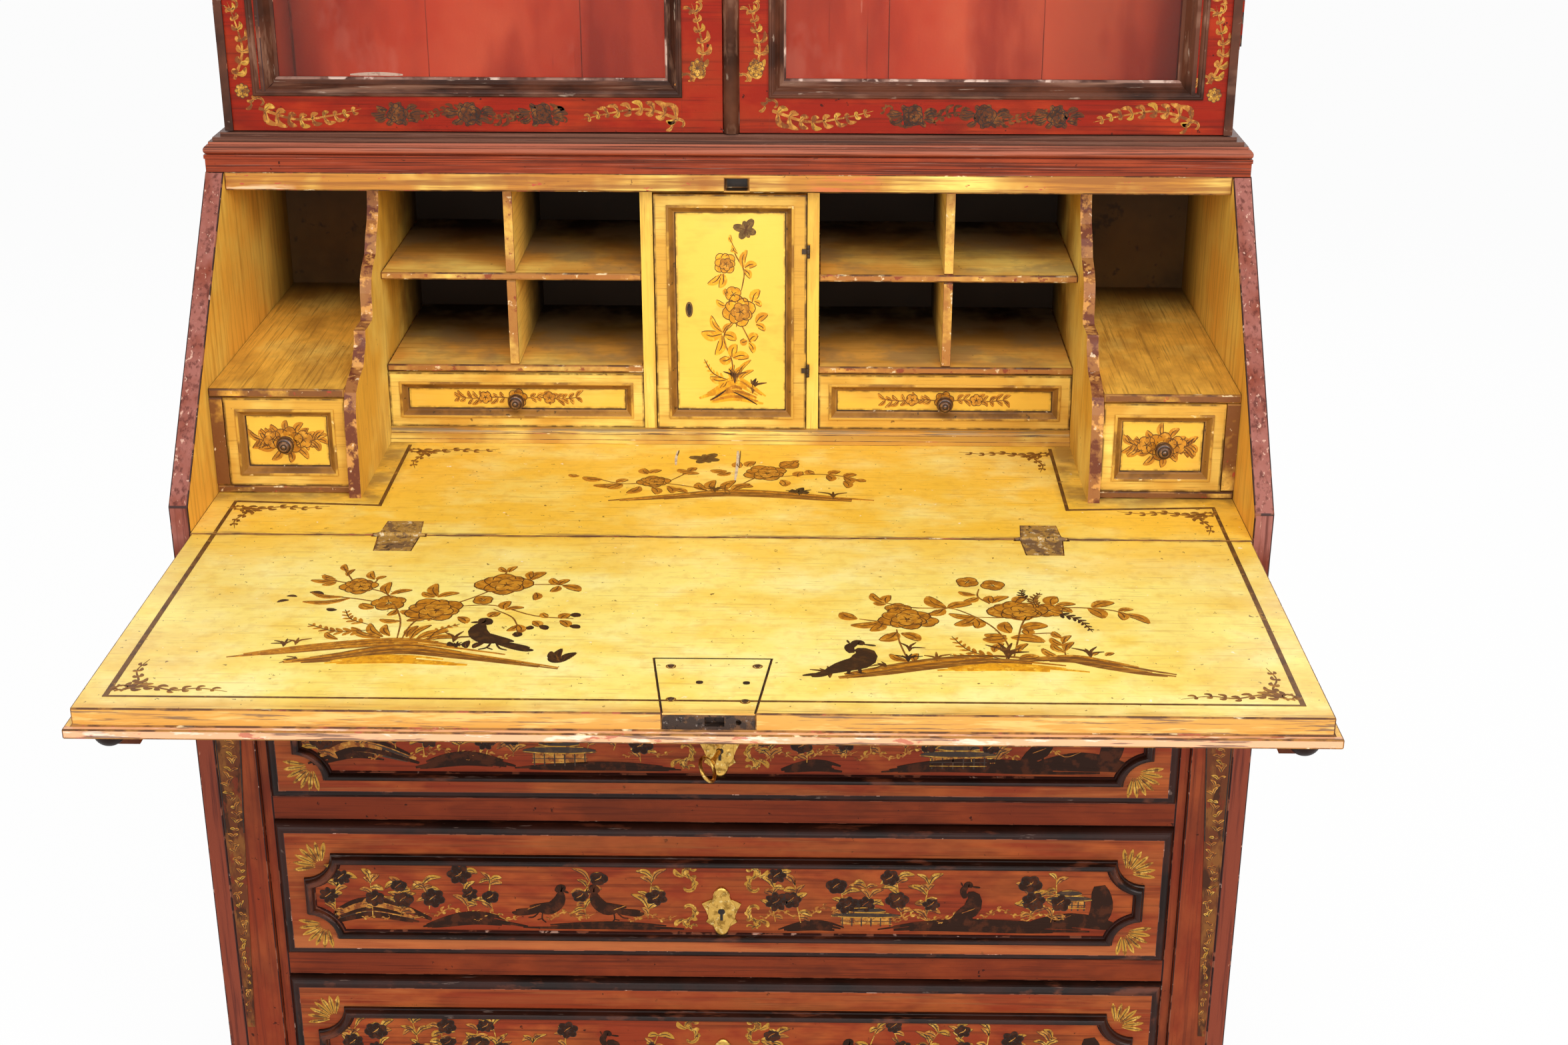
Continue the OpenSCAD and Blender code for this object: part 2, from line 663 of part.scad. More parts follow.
module left_door_glass() { color("lightblue") at_bed() door_glass(-1); }
module right_door_glass() { color("lightblue") at_bed() door_glass(1); }

side_boards();
desk_top();
bed_boards();
back_boards();
front_rails();
corner_stiles();
gilt_strips();
dust_boards();
loper_cases();
base_moulding();
feet();
waist_moulding();
upper_sides();
upper_boards();
upper_back();
cornice();
cornice_top();
upper_hinges();
partitions();
housings();
block_shelves();
dividers();
cupboard_walls();
plinth();
bed_hinges();
fall_board();
fall_hinges();
lock_cover();
fall_lock();
left_loper();
right_loper();
drawer_1_front();
drawer_1_moulding();
drawer_1_box();
drawer_1_lock();
drawer_1_bolt();
key();
drawer_2_front();
drawer_2_moulding();
drawer_2_box();
drawer_2_lock();
drawer_3_front();
drawer_3_moulding();
drawer_3_box();
drawer_3_lock();
left_block_drawer();
right_block_drawer();
left_house_drawer();
right_house_drawer();
cupboard_door();
left_door();
left_door_moulding();
left_door_glass();
right_door();
right_door_moulding();
right_door_glass();
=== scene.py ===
import bpy
import math
import numpy as np
from mathutils import Matrix, Vector


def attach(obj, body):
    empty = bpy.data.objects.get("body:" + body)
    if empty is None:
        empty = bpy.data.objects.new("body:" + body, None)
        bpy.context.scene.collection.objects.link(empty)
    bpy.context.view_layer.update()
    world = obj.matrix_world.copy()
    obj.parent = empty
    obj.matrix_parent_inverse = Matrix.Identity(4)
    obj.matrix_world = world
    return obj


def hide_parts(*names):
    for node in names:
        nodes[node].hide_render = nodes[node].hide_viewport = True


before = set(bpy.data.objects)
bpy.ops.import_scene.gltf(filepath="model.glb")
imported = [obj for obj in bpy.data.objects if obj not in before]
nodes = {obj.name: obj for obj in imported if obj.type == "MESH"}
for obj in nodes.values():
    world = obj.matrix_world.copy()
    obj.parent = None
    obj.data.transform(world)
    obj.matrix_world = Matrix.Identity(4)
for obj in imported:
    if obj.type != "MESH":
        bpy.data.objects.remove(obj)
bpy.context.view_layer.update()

# Lengths are written in millimetres from the bed of the desk, as in the part's source:
# x across, y back from the hinge line of the fall, z up from the writing surface.
BED = (0.0, -68.0, 800.0)  # the bed's own origin in the row frame


def at_bed(p):
    """Millimetres from the bed to metres in the row frame, for an array of points (..., 3)."""
    return (np.asarray(p, float) + BED) * 0.001


# ---------------------------------------------------------------- materials

def linear(code):
    """sRGB hex colour to the linear values a shader takes."""
    v = np.array([int(code[i:i + 2], 16) for i in (0, 2, 4)]) / 255.0
    v = np.where(v <= 0.04045, v / 12.92, ((v + 0.055) / 1.055) ** 2.4)
    return (*v.tolist(), 1.0)


def add(tree, kind, inputs=None, out=0, **settings):
    """Adds one node: settings are its properties, inputs its values or the sockets that feed it."""
    n = tree.nodes.new("ShaderNode" + kind)
    for k, v in settings.items():
        setattr(n, k, v)
    for k, v in (inputs or {}).items():
        if isinstance(v, bpy.types.NodeSocket):
            tree.links.new(v, n.inputs[k])
        else:
            n.inputs[k].default_value = v
    return n.outputs[out]


def mottle(t, size, detail=4.0):
    """Cloudy pattern, 0 to 1, its patches about size mm across: one number, or one for each axis."""
    size = np.broadcast_to(np.asarray(size, float), 3)
    p = add(t, "Mapping", {0: add(t, "TexCoord", out=3), 3: tuple(1000.0 / size)})
    return add(t, "TexNoise", {0: p, "Scale": 1.0, "Detail": detail, "Roughness": 0.6})


def place_mask(t, where):
    """Product of straight ramps: each (axis, a, b) goes from 0 at a to 1 at b, in mm from the bed.
    Axis X is the distance from the middle plane; nx and ny are how far a face looks along x or y."""
    mask = 1.0
    for axis, a, b in where:
        i = "xyz".index(axis[-1].lower())
        v = add(t, "SeparateXYZ", {0: add(t, "TexCoord", out=1 if axis[0] == "n" else 3)}, out=i)
        if axis in ("X", "nx", "ny"):
            v = add(t, "Math", {0: v}, operation="ABSOLUTE")
        ends = (a, b) if axis[0] == "n" else ((a + BED[i]) / 1000, (b + BED[i]) / 1000)
        ramp = add(t, "MapRange", {0: v, 1: ends[0], 2: ends[1]})
        mask = add(t, "Math", {0: ramp, 1: mask}, operation="MULTIPLY")
    return mask


def finish(name, base, layers, rough=0.45, relief=(2.0, 0.2), metallic=0.0, coat=0.0, specular=0.3):
    """Material made of a base colour and layers laid over it. A layer is (colour, strength, size of
    its patches in mm or None, (low, high) of the pattern where it fades in, where it lies).
    Relief is the size of the surface grain in mm and its depth in mm."""
    m = bpy.data.materials.new(name)
    m.use_nodes = True
    t = m.node_tree
    s = t.nodes["Principled BSDF"]
    s.inputs["Roughness"].default_value = rough
    s.inputs["Metallic"].default_value = metallic
    s.inputs["Coat Weight"].default_value = coat
    s.inputs["Coat Roughness"].default_value = 0.25
    s.inputs["Specular IOR Level"].default_value = specular
    colour = linear(base)
    for layer in layers:
        code, strength, size, limits = layer[:4]
        mask = place_mask(t, layer[4] if len(layer) > 4 else ())
        if size is not None:
            part = add(t, "MapRange", {0: mottle(t, size), 1: limits[0], 2: limits[1]})
            mask = add(t, "Math", {0: part, 1: mask}, operation="MULTIPLY")
        mask = add(t, "Math", {0: mask, 1: strength}, operation="MULTIPLY")
        colour = add(t, "Mix", {0: mask, 6: colour, 7: linear(code)}, out=2, data_type="RGBA")
    if layers:
        t.links.new(colour, s.inputs["Base Color"])
    else:
        s.inputs["Base Color"].default_value = colour
    height = mottle(t, relief[0], 3.0)
    bumps = add(t, "Bump", {"Height": height, "Distance": relief[1] / 1000, "Strength": 0.5})
    t.links.new(bumps, s.inputs["Normal"])
    return m


def grain(along, length=220.0, fine=5.0):
    """Patch sizes of brush and wood grain: long on one axis and fine across it."""
    size = [fine] * 3
    size["xyz".index(along)] = length
    return size


def yellow(name, along, base="E9BE4E", extra=(), rough=0.42):
    """Yellow japanning, an oil varnish paint on a pale ground over oak: warm and slightly shiny,
    drifting from lemon to ochre, with brown grain lines and specks where dirt has settled."""
    return finish(name, base, [
        ("F6D870", 0.9, (160, 160, 160), (0.48, 0.66)),
        ("C08A30", 0.7, grain(along, 110, 24), (0.50, 0.70)),
        ("B07A26", 0.5, grain(along, 160, 4), (0.52, 0.72)),
        ("8A5A1C", 0.6, grain(along, 60, 1.4), (0.58, 0.72)),
        ("5E3A14", 0.8, 9.0, (0.69, 0.73)),
        *extra], rough, (1.6, 0.25))


def red(name, along, base="823016", extra=(), rough=0.42, light="AC5826", dark="4E1C0E"):
    """Red japanning over oak: vermilion under brown varnish, darker in clouds and along the grain,
    with thin black streaks and small chips."""
    return finish(name, base, [
        (light, 0.7, grain(along, 120, 50), (0.43, 0.62)),
        (dark, 0.5, grain(along, 110, 50), (0.48, 0.68)),
        (dark, 0.6, grain(along, 200, 5), (0.50, 0.66)),
        ("260C04", 0.5, grain(along, 120, 1.6), (0.60, 0.70)),
        ("1A0A05", 0.8, 9.0, (0.68, 0.72)),
        *extra], rough, (1.8, 0.25), specular=0.12)


# Places that several layers share, as place_mask reads them.
FACING = (("ny", 0.5, 0.8),)  # faces toward the front, such as the interior boards' front edges
SCROLLED = (("nx", 0.7, 0.4),)  # every face of a partition but its two sides
OUTER = (("y", 524, 525),)  # outer face of the backs
WALL = (("X", 541.6, 541.0), ("z", -1, 0))  # side boards beside the desk's interior
FALL_FRONT = (("ny", 0.5, 0.9), ("y", -340, -380))  # front edge of the open fall
LIP = (("y", -385.2, -386.4),)  # its overhanging lip
UNDER = (("z", -25.0, -25.8),)  # outer face of the fall, which looks down while it is open
FIELD = (("y", -4.2, -3.4),)  # flat field of a long drawer, behind its raised panel's face

# Painted shade behind the mouths of the pigeonholes and bays: the colour goes brown and then black toward the
# back, where shade falls.
SHADE = [("7A5520", 0.7, 60.0, (0.25, 0.5), (("y", 320, 420),)),
         ("1E140A", 0.97, None, None, (("y", 350, 480),))]
# The backs were never painted: old pine gone grey-brown.
BARE = [("7A5C3C", 1.0, None, None, OUTER),
        ("93744E", 0.8, grain("z", 300, 30), (0.45, 0.6), OUTER),
        ("4A3420", 0.7, grain("z", 200, 3), (0.52, 0.66), OUTER)]
# The front edges of the interior boards are rubbed to brown, red bole and pale ground.
EDGE = [("9A5E2C", 0.9, (60, 60, 60), (0.3, 0.5), FACING),
        ("E2C9A0", 0.8, 11.0, (0.62, 0.66), FACING),
        ("7E2E20", 0.8, 16.0, (0.60, 0.64), FACING)]
# Desk top: its front edge is a deep orange, darkened with painted shade where it lies under the waist
# moulding, pale at the left end, rubbed pink to the right of the lock's mortise, and painted black inside the
# mortise as its shade.
TOP_RAIL = yellow("yellow_japanned_desk_top", "x", "B87A2C", [
    ("8A5220", 0.8, grain("x", 160, 5), (0.44, 0.6)), ("B04A34", 0.9, (30, 12, 12), (0.66, 0.69)),
    ("E4C29A", 0.8, (70, 20, 9), (0.44, 0.54), (("x", -462, -480), ("z", 301, 297))),
    ("C86A3C", 0.7, (60, 20, 9), (0.44, 0.54), (("x", 84, 100), ("x", 170, 150))),
    ("2A1C10", 1.0, None, None, (("x", -3.5, -2.5), ("x", 24.5, 23.5), ("z", 294.6, 295.4),
                                 ("z", 310.6, 309.6), ("y", 254.5, 255.3)))])
# Upright boards about the cupboard, black toward the back with painted shade, and with the door's small iron
# knuckles darkened.
YELLOW_UPRIGHT = yellow("yellow_japanning_upright", "z", extra=SHADE + [
    ("3A2A1C", 1.0, None, None, (("x", 84, 84.5), ("x", 91.5, 91), ("y", 272.8, 272.4)))])
# Shelves: dull and grey with dust toward the back, then black with painted shade, worn along their front
# edges.
SHELVES = yellow("yellow_japanned_shelves", "x", "E0A448", SHADE + [
    ("8C7550", 0.6, 70.0, (0.45, 0.6), (("y", 270, 300),)), *EDGE], 0.55)
# Dividers between the pigeonholes: clean pale sides turning black toward the back with painted shade, and the
# same worn edges.
DIVIDERS = yellow("yellow_japanned_dividers", "y", "F6C65A", SHADE + EDGE, 0.5)
# Scrolled partitions: ochre sides that darken to black toward the back as painted shade, the scrolled edge
# rubbed to wood, bole and ground.
PARTITIONS = yellow("yellow_japanned_partitions", "z", "E2AE40", [
    ("9A661E", 0.8, 50.0, (0.35, 0.6), (("y", 290, 400),)), ("1E140A", 0.9, None, None, (("y", 380, 500),)),
    ("8A5230", 0.9, None, None, SCROLLED),
    ("5E2A1C", 0.9, 22.0, (0.47, 0.55), SCROLLED),
    ("D89C50", 0.75, 14.0, (0.53, 0.60), SCROLLED),
    ("E2D0B4", 0.6, 7.0, (0.64, 0.68), SCROLLED)], 0.5)
# Back boards: painted shade, near black inside and darkest high up under the desk top, lighter and warmer
# behind the two open bays at the sides.
BACK = finish("painted_shade_back_boards", "2E1E0C", [
    ("6A4A1C", 0.9, 140.0, (0.2, 0.6), (("X", 385, 395),)),
    ("2A1C0E", 0.7, 24.0, (0.60, 0.68)),
    ("1A1108", 0.8, None, None, (("z", 150, 290),)), *BARE], 0.7, (3.0, 0.3))
# Boards of the two outer houses: grained yellow tops, black at the back with painted shade, with brown rubbed
# edges.
HOUSING = yellow("yellow_japanned_housings", "y", "F2B848", [
    ("A8762E", 0.6, (60, 90, 60), (0.42, 0.62), (("z", 112, 116),)),
    ("7A5424", 0.5, grain("y", 90, 2), (0.54, 0.66), (("z", 112, 116),)),
    ("3A2814", 0.9, None, None, (("y", 400, 500), ("z", 112, 116))),
    ("6E3E20", 0.95, (50, 50, 50), (0.25, 0.45), FACING),
    ("A8382C", 0.8, 12.0, (0.62, 0.66), FACING),
    ("E2C9A0", 0.8, 9.0, (0.66, 0.69), FACING)], 0.5)
# Plinth moulding: ochre, grey in its two hollows and dark brown low in them.
PLINTH = yellow("yellow_japanned_plinth", "x", "C08C3A", extra=[
    ("857A66", 0.8, grain("x", 80, 5), (0.40, 0.55), (("z", 10, 12), ("z", 16.4, 15.4))),
    ("3A2612", 0.9, grain("x", 60, 2), (0.5, 0.6), (("z", 9.2, 10), ("z", 12, 11)))])
# The writing surface: palest in the middle of the fall, browner to its borders and to the hinge
# line; the front edge is rubbed through to pale ground, pink bole and grey oak. Below it is red.
WRITING = finish("yellow_japanned_writing_surface", "FDE980", [
    ("FFF3A0", 0.9, (120, 100, 100), (0.46, 0.62)),
    ("F6CE4E", 0.7, (90, 60, 60), (0.46, 0.66)),
    ("DCA03A", 0.7, (100, 60, 60), (0.36, 0.66), (("X", 380, 560),)),
    ("DCA048", 0.75, (100, 30, 50), (0.28, 0.56), (("y", -356, -380),)),
    ("FAC436", 0.85, (90, 60, 60), (0.20, 0.54), (("y", -110, 30),)),
    ("C8902E", 0.2, 16.0, (0.50, 0.66)),
    ("B87C22", 0.35, grain("x", 90, 4), (0.56, 0.70)),
    ("8A5A1E", 0.55, grain("x", 26, 1.6), (0.62, 0.72)),
    ("6B4415", 0.9, 6.0, (0.68, 0.71)),
    ("FFF6DC", 0.8, 10.0, (0.31, 0.27)),
    ("7A5A40", 0.85, (40, 10, 10), (0.44, 0.56), (("y", -7, -1), ("y", 8, 2))),
    ("8A6638", 0.75, (60, 40, 40), (0.36, 0.56), (("y", 76, 104), ("X", 352, 368))),
    ("C88E3C", 0.95, None, None, FALL_FRONT),
    ("E2B468", 0.7, (60, 20, 6), (0.52, 0.62), FALL_FRONT),
    ("7A5034", 0.6, (90, 3, 3), (0.56, 0.64), FALL_FRONT),
    ("D8A078", 0.95, None, None, LIP),
    ("F2D2BC", 0.7, (40, 9, 9), (0.56, 0.62), LIP),
    ("A8503C", 0.75, (30, 9, 9), (0.60, 0.64), LIP),
    ("5A443A", 0.8, (70, 3, 3), (0.57, 0.61), (("y", -376, -386),)),
    ("5E2414", 0.95, None, None, (("ny", 0.6, 0.9), ("y", -3, -2), ("y", 6, 5))),
    ("6A2012", 1.0, None, None, UNDER),
    ("94441F", 0.6, (150, 60, 60), (0.46, 0.62), UNDER),
    ("3E150C", 0.6, grain("x", 200, 5), (0.50, 0.66), UNDER)], 0.36, (1.6, 0.22), coat=0.15)
# Side boards: dull dark red outside, a mauve-pink edge rubbed to bole and ground on the slope, and yellow on
# the walls of the interior, darkening toward the back with painted shade.
SIDES = finish("japanned_side_boards", "7A3826", [
    ("9A6258", 0.85, (50, 50, 90), (0.34, 0.56), (("nx", 0.9, 0.6), ("z", -24, -6))),
    ("6E2A1A", 0.85, None, None, (("nx", 0.6, 0.9),)),
    ("86422A", 0.6, (120, 120, 260), (0.46, 0.62), (("nx", 0.6, 0.9),)),
    ("4A201A", 0.7, grain("z", 160, 5), (0.5, 0.64)),
    ("D2A894", 0.75, (5, 5, 26), (0.62, 0.67), (("nx", 0.9, 0.6), ("z", -24, -6))),
    ("D2A080", 0.7, (4, 4, 14), (0.66, 0.69), (("nx", 0.9, 0.6), ("X", 555, 559))),
    ("EDB146", 1.0, None, None, WALL),
    ("F0C95C", 0.8, (120, 120, 120), (0.46, 0.62), WALL),
    ("B0782A", 0.55, grain("z", 120, 9), (0.46, 0.66), WALL),
    ("4A3212", 0.9, None, None, (*WALL, ("y", 400, 520)))], 0.45, (2.0, 0.3), specular=0.12)
# Long drawers: brown-red, with paler grain on the flat field round the raised panel, palest along
# the foot of the middle drawer.
RED = red("red_japanning", "x", extra=[
    ("94522A", 0.35, grain("x", 220, 9), (0.38, 0.6), FIELD),
    ("A86A3A", 0.3, grain("x", 160, 5), (0.56, 0.68), FIELD),
    ("C0703E", 0.45, (220, 20, 12), (0.30, 0.5), (*FIELD, ("z", -505, -500), ("z", -478, -483)))])
# Upper doors: the cleanest and brightest vermilion.
DOOR_RED = red("vermilion_japanned_doors", "x", "861A06", light="A83612", dark="561608")
# Rails between the drawers, then the corner stiles: browner, the grain lying as the boards do.
RAILS = red("brown_red_japanned_rails", "x", "6E2A12", light="8A3A18", dark="3E170C")
RED_UPRIGHT = red("red_japanning_upright_grain", "z", "7A2E16", light="8E4422", dark="4E1E12")
# Waist moulding and cornice: dark red, the waist's round rubbed paler and the steps above it grey
# with dirt.
RED_DARK = red("dark_red_japanned_mouldings", "x", "8E391F", [
    ("A05C46", 0.9, grain("x", 300, 20), (0.2, 0.4), (("z", 334, 338), ("z", 345.4, 345.0))),
    ("644436", 0.9, grain("x", 300, 20), (0.2, 0.4), (("z", 345.0, 345.4),)),
    ("2A1410", 0.7, grain("x", 260, 2), (0.50, 0.60)), ("9A6A5A", 0.5, grain("x", 120, 1.6), (0.60, 0.66))],
    light="9A4122", dark="5C2114")
# Planks inside the cabinet: matt chalky distemper, cloudy, darker in the back corners with painted shade,
# bare behind.
PLANKS = finish("red_distempered_planks", "BE3A1C", [
    ("CE5A38", 0.8, (180, 180, 260), (0.42, 0.62)),
    ("941F0C", 0.8, grain("z", 400, 90), (0.46, 0.62)),
    ("D0705A", 0.35, (60, 60, 110), (0.60, 0.70)),
    ("5A160C", 0.6, grain("z", 200, 4), (0.66, 0.72)),
    ("7A1E0E", 0.8, None, None, (("X", 470, 516), ("y", 490, 512))), *BARE], 0.7, (3.0, 0.3), specular=0.06)
# Cabinet sides: brown-red outside, bright inside and then dark toward the back with painted shade.
CABINET_SIDES = red("red_cabinet_sides", "z", extra=[
    ("B8442A", 0.95, (120, 120, 200), (0.2, 0.5), (("X", 519, 518.4),)),
    ("6A1C0E", 0.8, None, None, (("X", 519, 518.4), ("y", 430, 512)))])
# Black-brown japanned moulding: shiny in its hollows, rubbed red-brown on its rounds.
DARK = finish("dark_japanned_moulding", "1A0C07", [
    ("34170E", 0.8, (90, 60, 60), (0.42, 0.6)),
    ("683622", 0.7, (60, 12, 60), (0.58, 0.68)),
    ("8A7468", 0.3, (40, 3, 20), (0.66, 0.70))], 0.36, (1.2, 0.2), coat=0.05, specular=0.14)
# Glazing mouldings: brown-black japanning, streaked grey where the varnish has perished.
BROWN = finish("brown_japanned_glazing_moulding", "321A10", [
    ("5E3524", 0.85, (90, 60, 90), (0.40, 0.6)),
    ("8A6450", 0.7, (160, 10, 60), (0.52, 0.66)),
    ("1A0C08", 0.6, (120, 4, 120), (0.50, 0.75)),
    ("B09A88", 0.5, (50, 4, 30), (0.64, 0.69))], 0.42, (1.2, 0.25), specular=0.14)
# Thin edge beside the glass where the gesso shows through as broken pale spots.
WORN_LINE = finish("rubbed_gesso_edge", "4A2E26", [
    ("8E6A5C", 0.9, (45, 45, 45), (0.44, 0.56)),
    ("D0B4A4", 0.8, (26, 26, 26), (0.56, 0.62))], 0.6, (1.2, 0.2), specular=0.15)
# Beads of the small fronts, from their yellow lip over a brown round to a quirk full of dirt.
BEAD_LIP = finish("rubbed_yellow_bead_lip", "C8983A", [
    ("7A4E1C", 0.8, (40, 40, 40), (0.48, 0.58)), ("E6C888", 0.8, 9.0, (0.64, 0.68))], 0.5, (1.0, 0.3))
BEAD = finish("brown_japanned_bead", "8E6024", [
    ("5E3C18", 0.8, (60, 60, 60), (0.46, 0.60)),
    ("A87830", 0.7, (50, 50, 50), (0.56, 0.66)),
    ("3A2814", 0.8, 9.0, (0.64, 0.68))], 0.5, (1.0, 0.3))
BEAD_QUIRK = finish("dirt_filled_quirk", "3A2614", [
    ("6E4A20", 0.8, (30, 30, 30), (0.50, 0.58)), ("CFC0A4", 0.7, 7.0, (0.66, 0.69))], 0.6, (1.0, 0.3))
# Unpainted oak of boxes and dust boards: dull brown with long darker grain.
OAK = finish("aged_oak", "6E4A2A", [
    ("8E663E", 0.8, grain("y", 240, 9), (0.46, 0.6)),
    ("3E2614", 0.8, grain("y", 150, 2.6), (0.56, 0.68))], 0.7, (2.0, 0.3), specular=0.2)
# Cast brass with dull lacquer: yellow metal, brown where it is tarnished.
BRASS = finish("tarnished_cast_brass", "D2A552", [
    ("8A6428", 0.8, 7.0, (0.48, 0.60)),
    ("F2D894", 0.7, 5.0, (0.58, 0.66))], 0.34, (1.2, 0.15), metallic=1.0, specular=0.5)
# Forged iron with a rusty skin, brighter where it is rubbed.
IRON = finish("forged_iron", "3A2C24", [
    ("6A4A30", 0.8, 9.0, (0.48, 0.6)),
    ("8C8078", 0.7, 5.0, (0.60, 0.66)),
    ("1A1310", 0.8, 6.0, (0.42, 0.36))], 0.5, (1.0, 0.3), metallic=0.6, specular=0.5)
# Hinge plates: iron that was painted over, now half bare and spotted.
HINGE_IRON = finish("iron_under_worn_paint", "A8803C", [
    ("6E5238", 0.9, 12.0, (0.50, 0.56)),
    ("3A281C", 0.9, 8.0, (0.58, 0.63)),
    ("DCCBA8", 0.7, 6.0, (0.40, 0.36))], 0.6, (1.0, 0.3), metallic=0.1)
# Small knobs: turned fruitwood, glossy on the rings and nearly black in the grooves.
KNOB = finish("turned_dark_fruitwood", "5A3A22", [
    ("8A6036", 0.8, 6.0, (0.5, 0.6)), ("2A1810", 0.8, 4.0, (0.58, 0.64))], 0.32, (1.0, 0.1), coat=0.3)
KNOB_GROOVE = finish("nearly_black_turned_grooves", "1E120A", [("3A2414", 0.8, 4.0, (0.5, 0.6))], 0.5)
# Oil gilding on the corner strips, rubbed down to brown size and red bole.
GILT = finish("rubbed_oil_gilding", "5E3018", [
    ("7E4E22", 0.8, (16, 16, 40), (0.48, 0.60)),
    ("3A1E10", 0.9, (12, 12, 36), (0.48, 0.40)),
    ("6E2A16", 0.8, (14, 14, 30), (0.58, 0.64))], 0.45, (1.2, 0.2), metallic=0.1, specular=0.15)
# Arrises, where handling has gone through the yellow or the red to ground and bole.
RUBBED_YELLOW = finish("rubbed_yellow_arris", "94642A", [
    ("E8D2A4", 0.75, (22, 9, 22), (0.61, 0.65)), ("9C4A34", 0.8, (20, 20, 20), (0.40, 0.36)),
    ("4A2A14", 0.9, (34, 12, 34), (0.46, 0.56))], 0.6, (1.0, 0.3))
RUBBED_RED = finish("rubbed_red_arris", "32140E", [
    ("8A5038", 0.8, (30, 30, 30), (0.56, 0.60)),
    ("C8A08C", 0.7, (16, 16, 16), (0.65, 0.68))], 0.55, (1.0, 0.3))


def window_glass():
    """Thin old crown glass: clear, with a faint dusty haze; the alpha lets the planks show."""
    m = finish("old_crown_glass", "D8C8BC", [], 0.12, (60.0, 0.05), specular=0.25)
    s = m.node_tree.nodes["Principled BSDF"]
    s.inputs["Alpha"].default_value = 0.018
    return m


GLASS = window_glass()


def front_panel(name, x0, x1, z0, z1, y, mx, mz):
    """Framed drawer or door front: dull frame with a dark band of painted shadow along its outer edges, where
    the gaps round it are, a brighter sunk panel that is darker round its edges and, on a drawer, a knob of
    dark turned wood."""
    bead = 9
    a, b, c, d = x0 + mx + bead, x1 - mx - bead, z0 + mz + bead, z1 - mz - bead
    light = "F3C852" if "door" in name else "EBB740"
    extra = [(light, 0.85, (90, 90, 40), (0.2, 0.5),
              (("x", a - 1, a), ("x", b + 1, b), ("z", c - 1, c), ("z", d + 1, d)))]
    # Painted shadow: a dark band just inside each outer edge of the front, as in the gap beside it.
    for axis, edge, way in (("x", x0, 1), ("x", x1, -1), ("z", z0, 1), ("z", z1, -1)):
        extra.append(("4A2E14", 0.9, (16, 16, 16), (0.34, 0.56),
                      ((axis, edge + 2.6 * way, edge + 0.8 * way), ("y", y + 1, y))))
    for axis, edge, way in (("x", a, 1), ("x", b, -1), ("z", c, 1), ("z", d, -1)):
        extra.append(("7A5220", 0.8, (12, 12, 12), (0.40, 0.58),
                      ((axis, edge + 3.0 * way, edge + 0.6 * way), ("y", y + 4, y + 5), ("y", y + 9, y + 8))))
    if "drawer" in name:
        extra.append(("4E3220", 1.0, None, None, (("y", y - 2.1, y - 2.5),)))
    else:
        extra.append(("3A2A1C", 1.0, None, None, (("y", y - 0.2, y - 0.4),)))
    return yellow(name, "x", "CE9C3C", extra)


# ---------------------------------------------------------------- carried-over boards

def dress(name, material, edge=None, width=1.2):
    """Gives a CAD node its finish and, by modifiers, welded corners and a rounded arris
    that takes the second, rubbed finish."""
    o = nodes[name]
    o.data.materials.clear()
    o.data.materials.append(material)
    if edge is None:
        return
    o.data.materials.append(edge)
    weld = o.modifiers.new("weld", "WELD")
    weld.merge_threshold = 2e-5
    b = o.modifiers.new("arris", "BEVEL")
    b.width = width * 0.001
    b.segments = 2
    b.limit_method = "ANGLE"
    b.angle_limit = math.radians(40)
    b.material = 1


# x0, x1, z0, z1 of each framed front, the y of its face and the width of its frame
FRONTS = {
    "left_block_drawer": (-383.5, -96.8, 17.2, 80.6, 278.0, 12, 11),
    "right_block_drawer": (100.3, 383.5, 17.2, 80.6, 278.0, 12, 11),
    "left_house_drawer": (-525.0, -398.0, 9.0, 106.5, 112.0, 12, 12),
    "right_house_drawer": (398.0, 525.0, 9.0, 106.5, 112.0, 12, 12),
    "cupboard_door": (-81.0, 85.5, 18.5, 287.0, 273.0, 14, 12),
}
SMALL_DRAWERS = list(FRONTS)[:4]
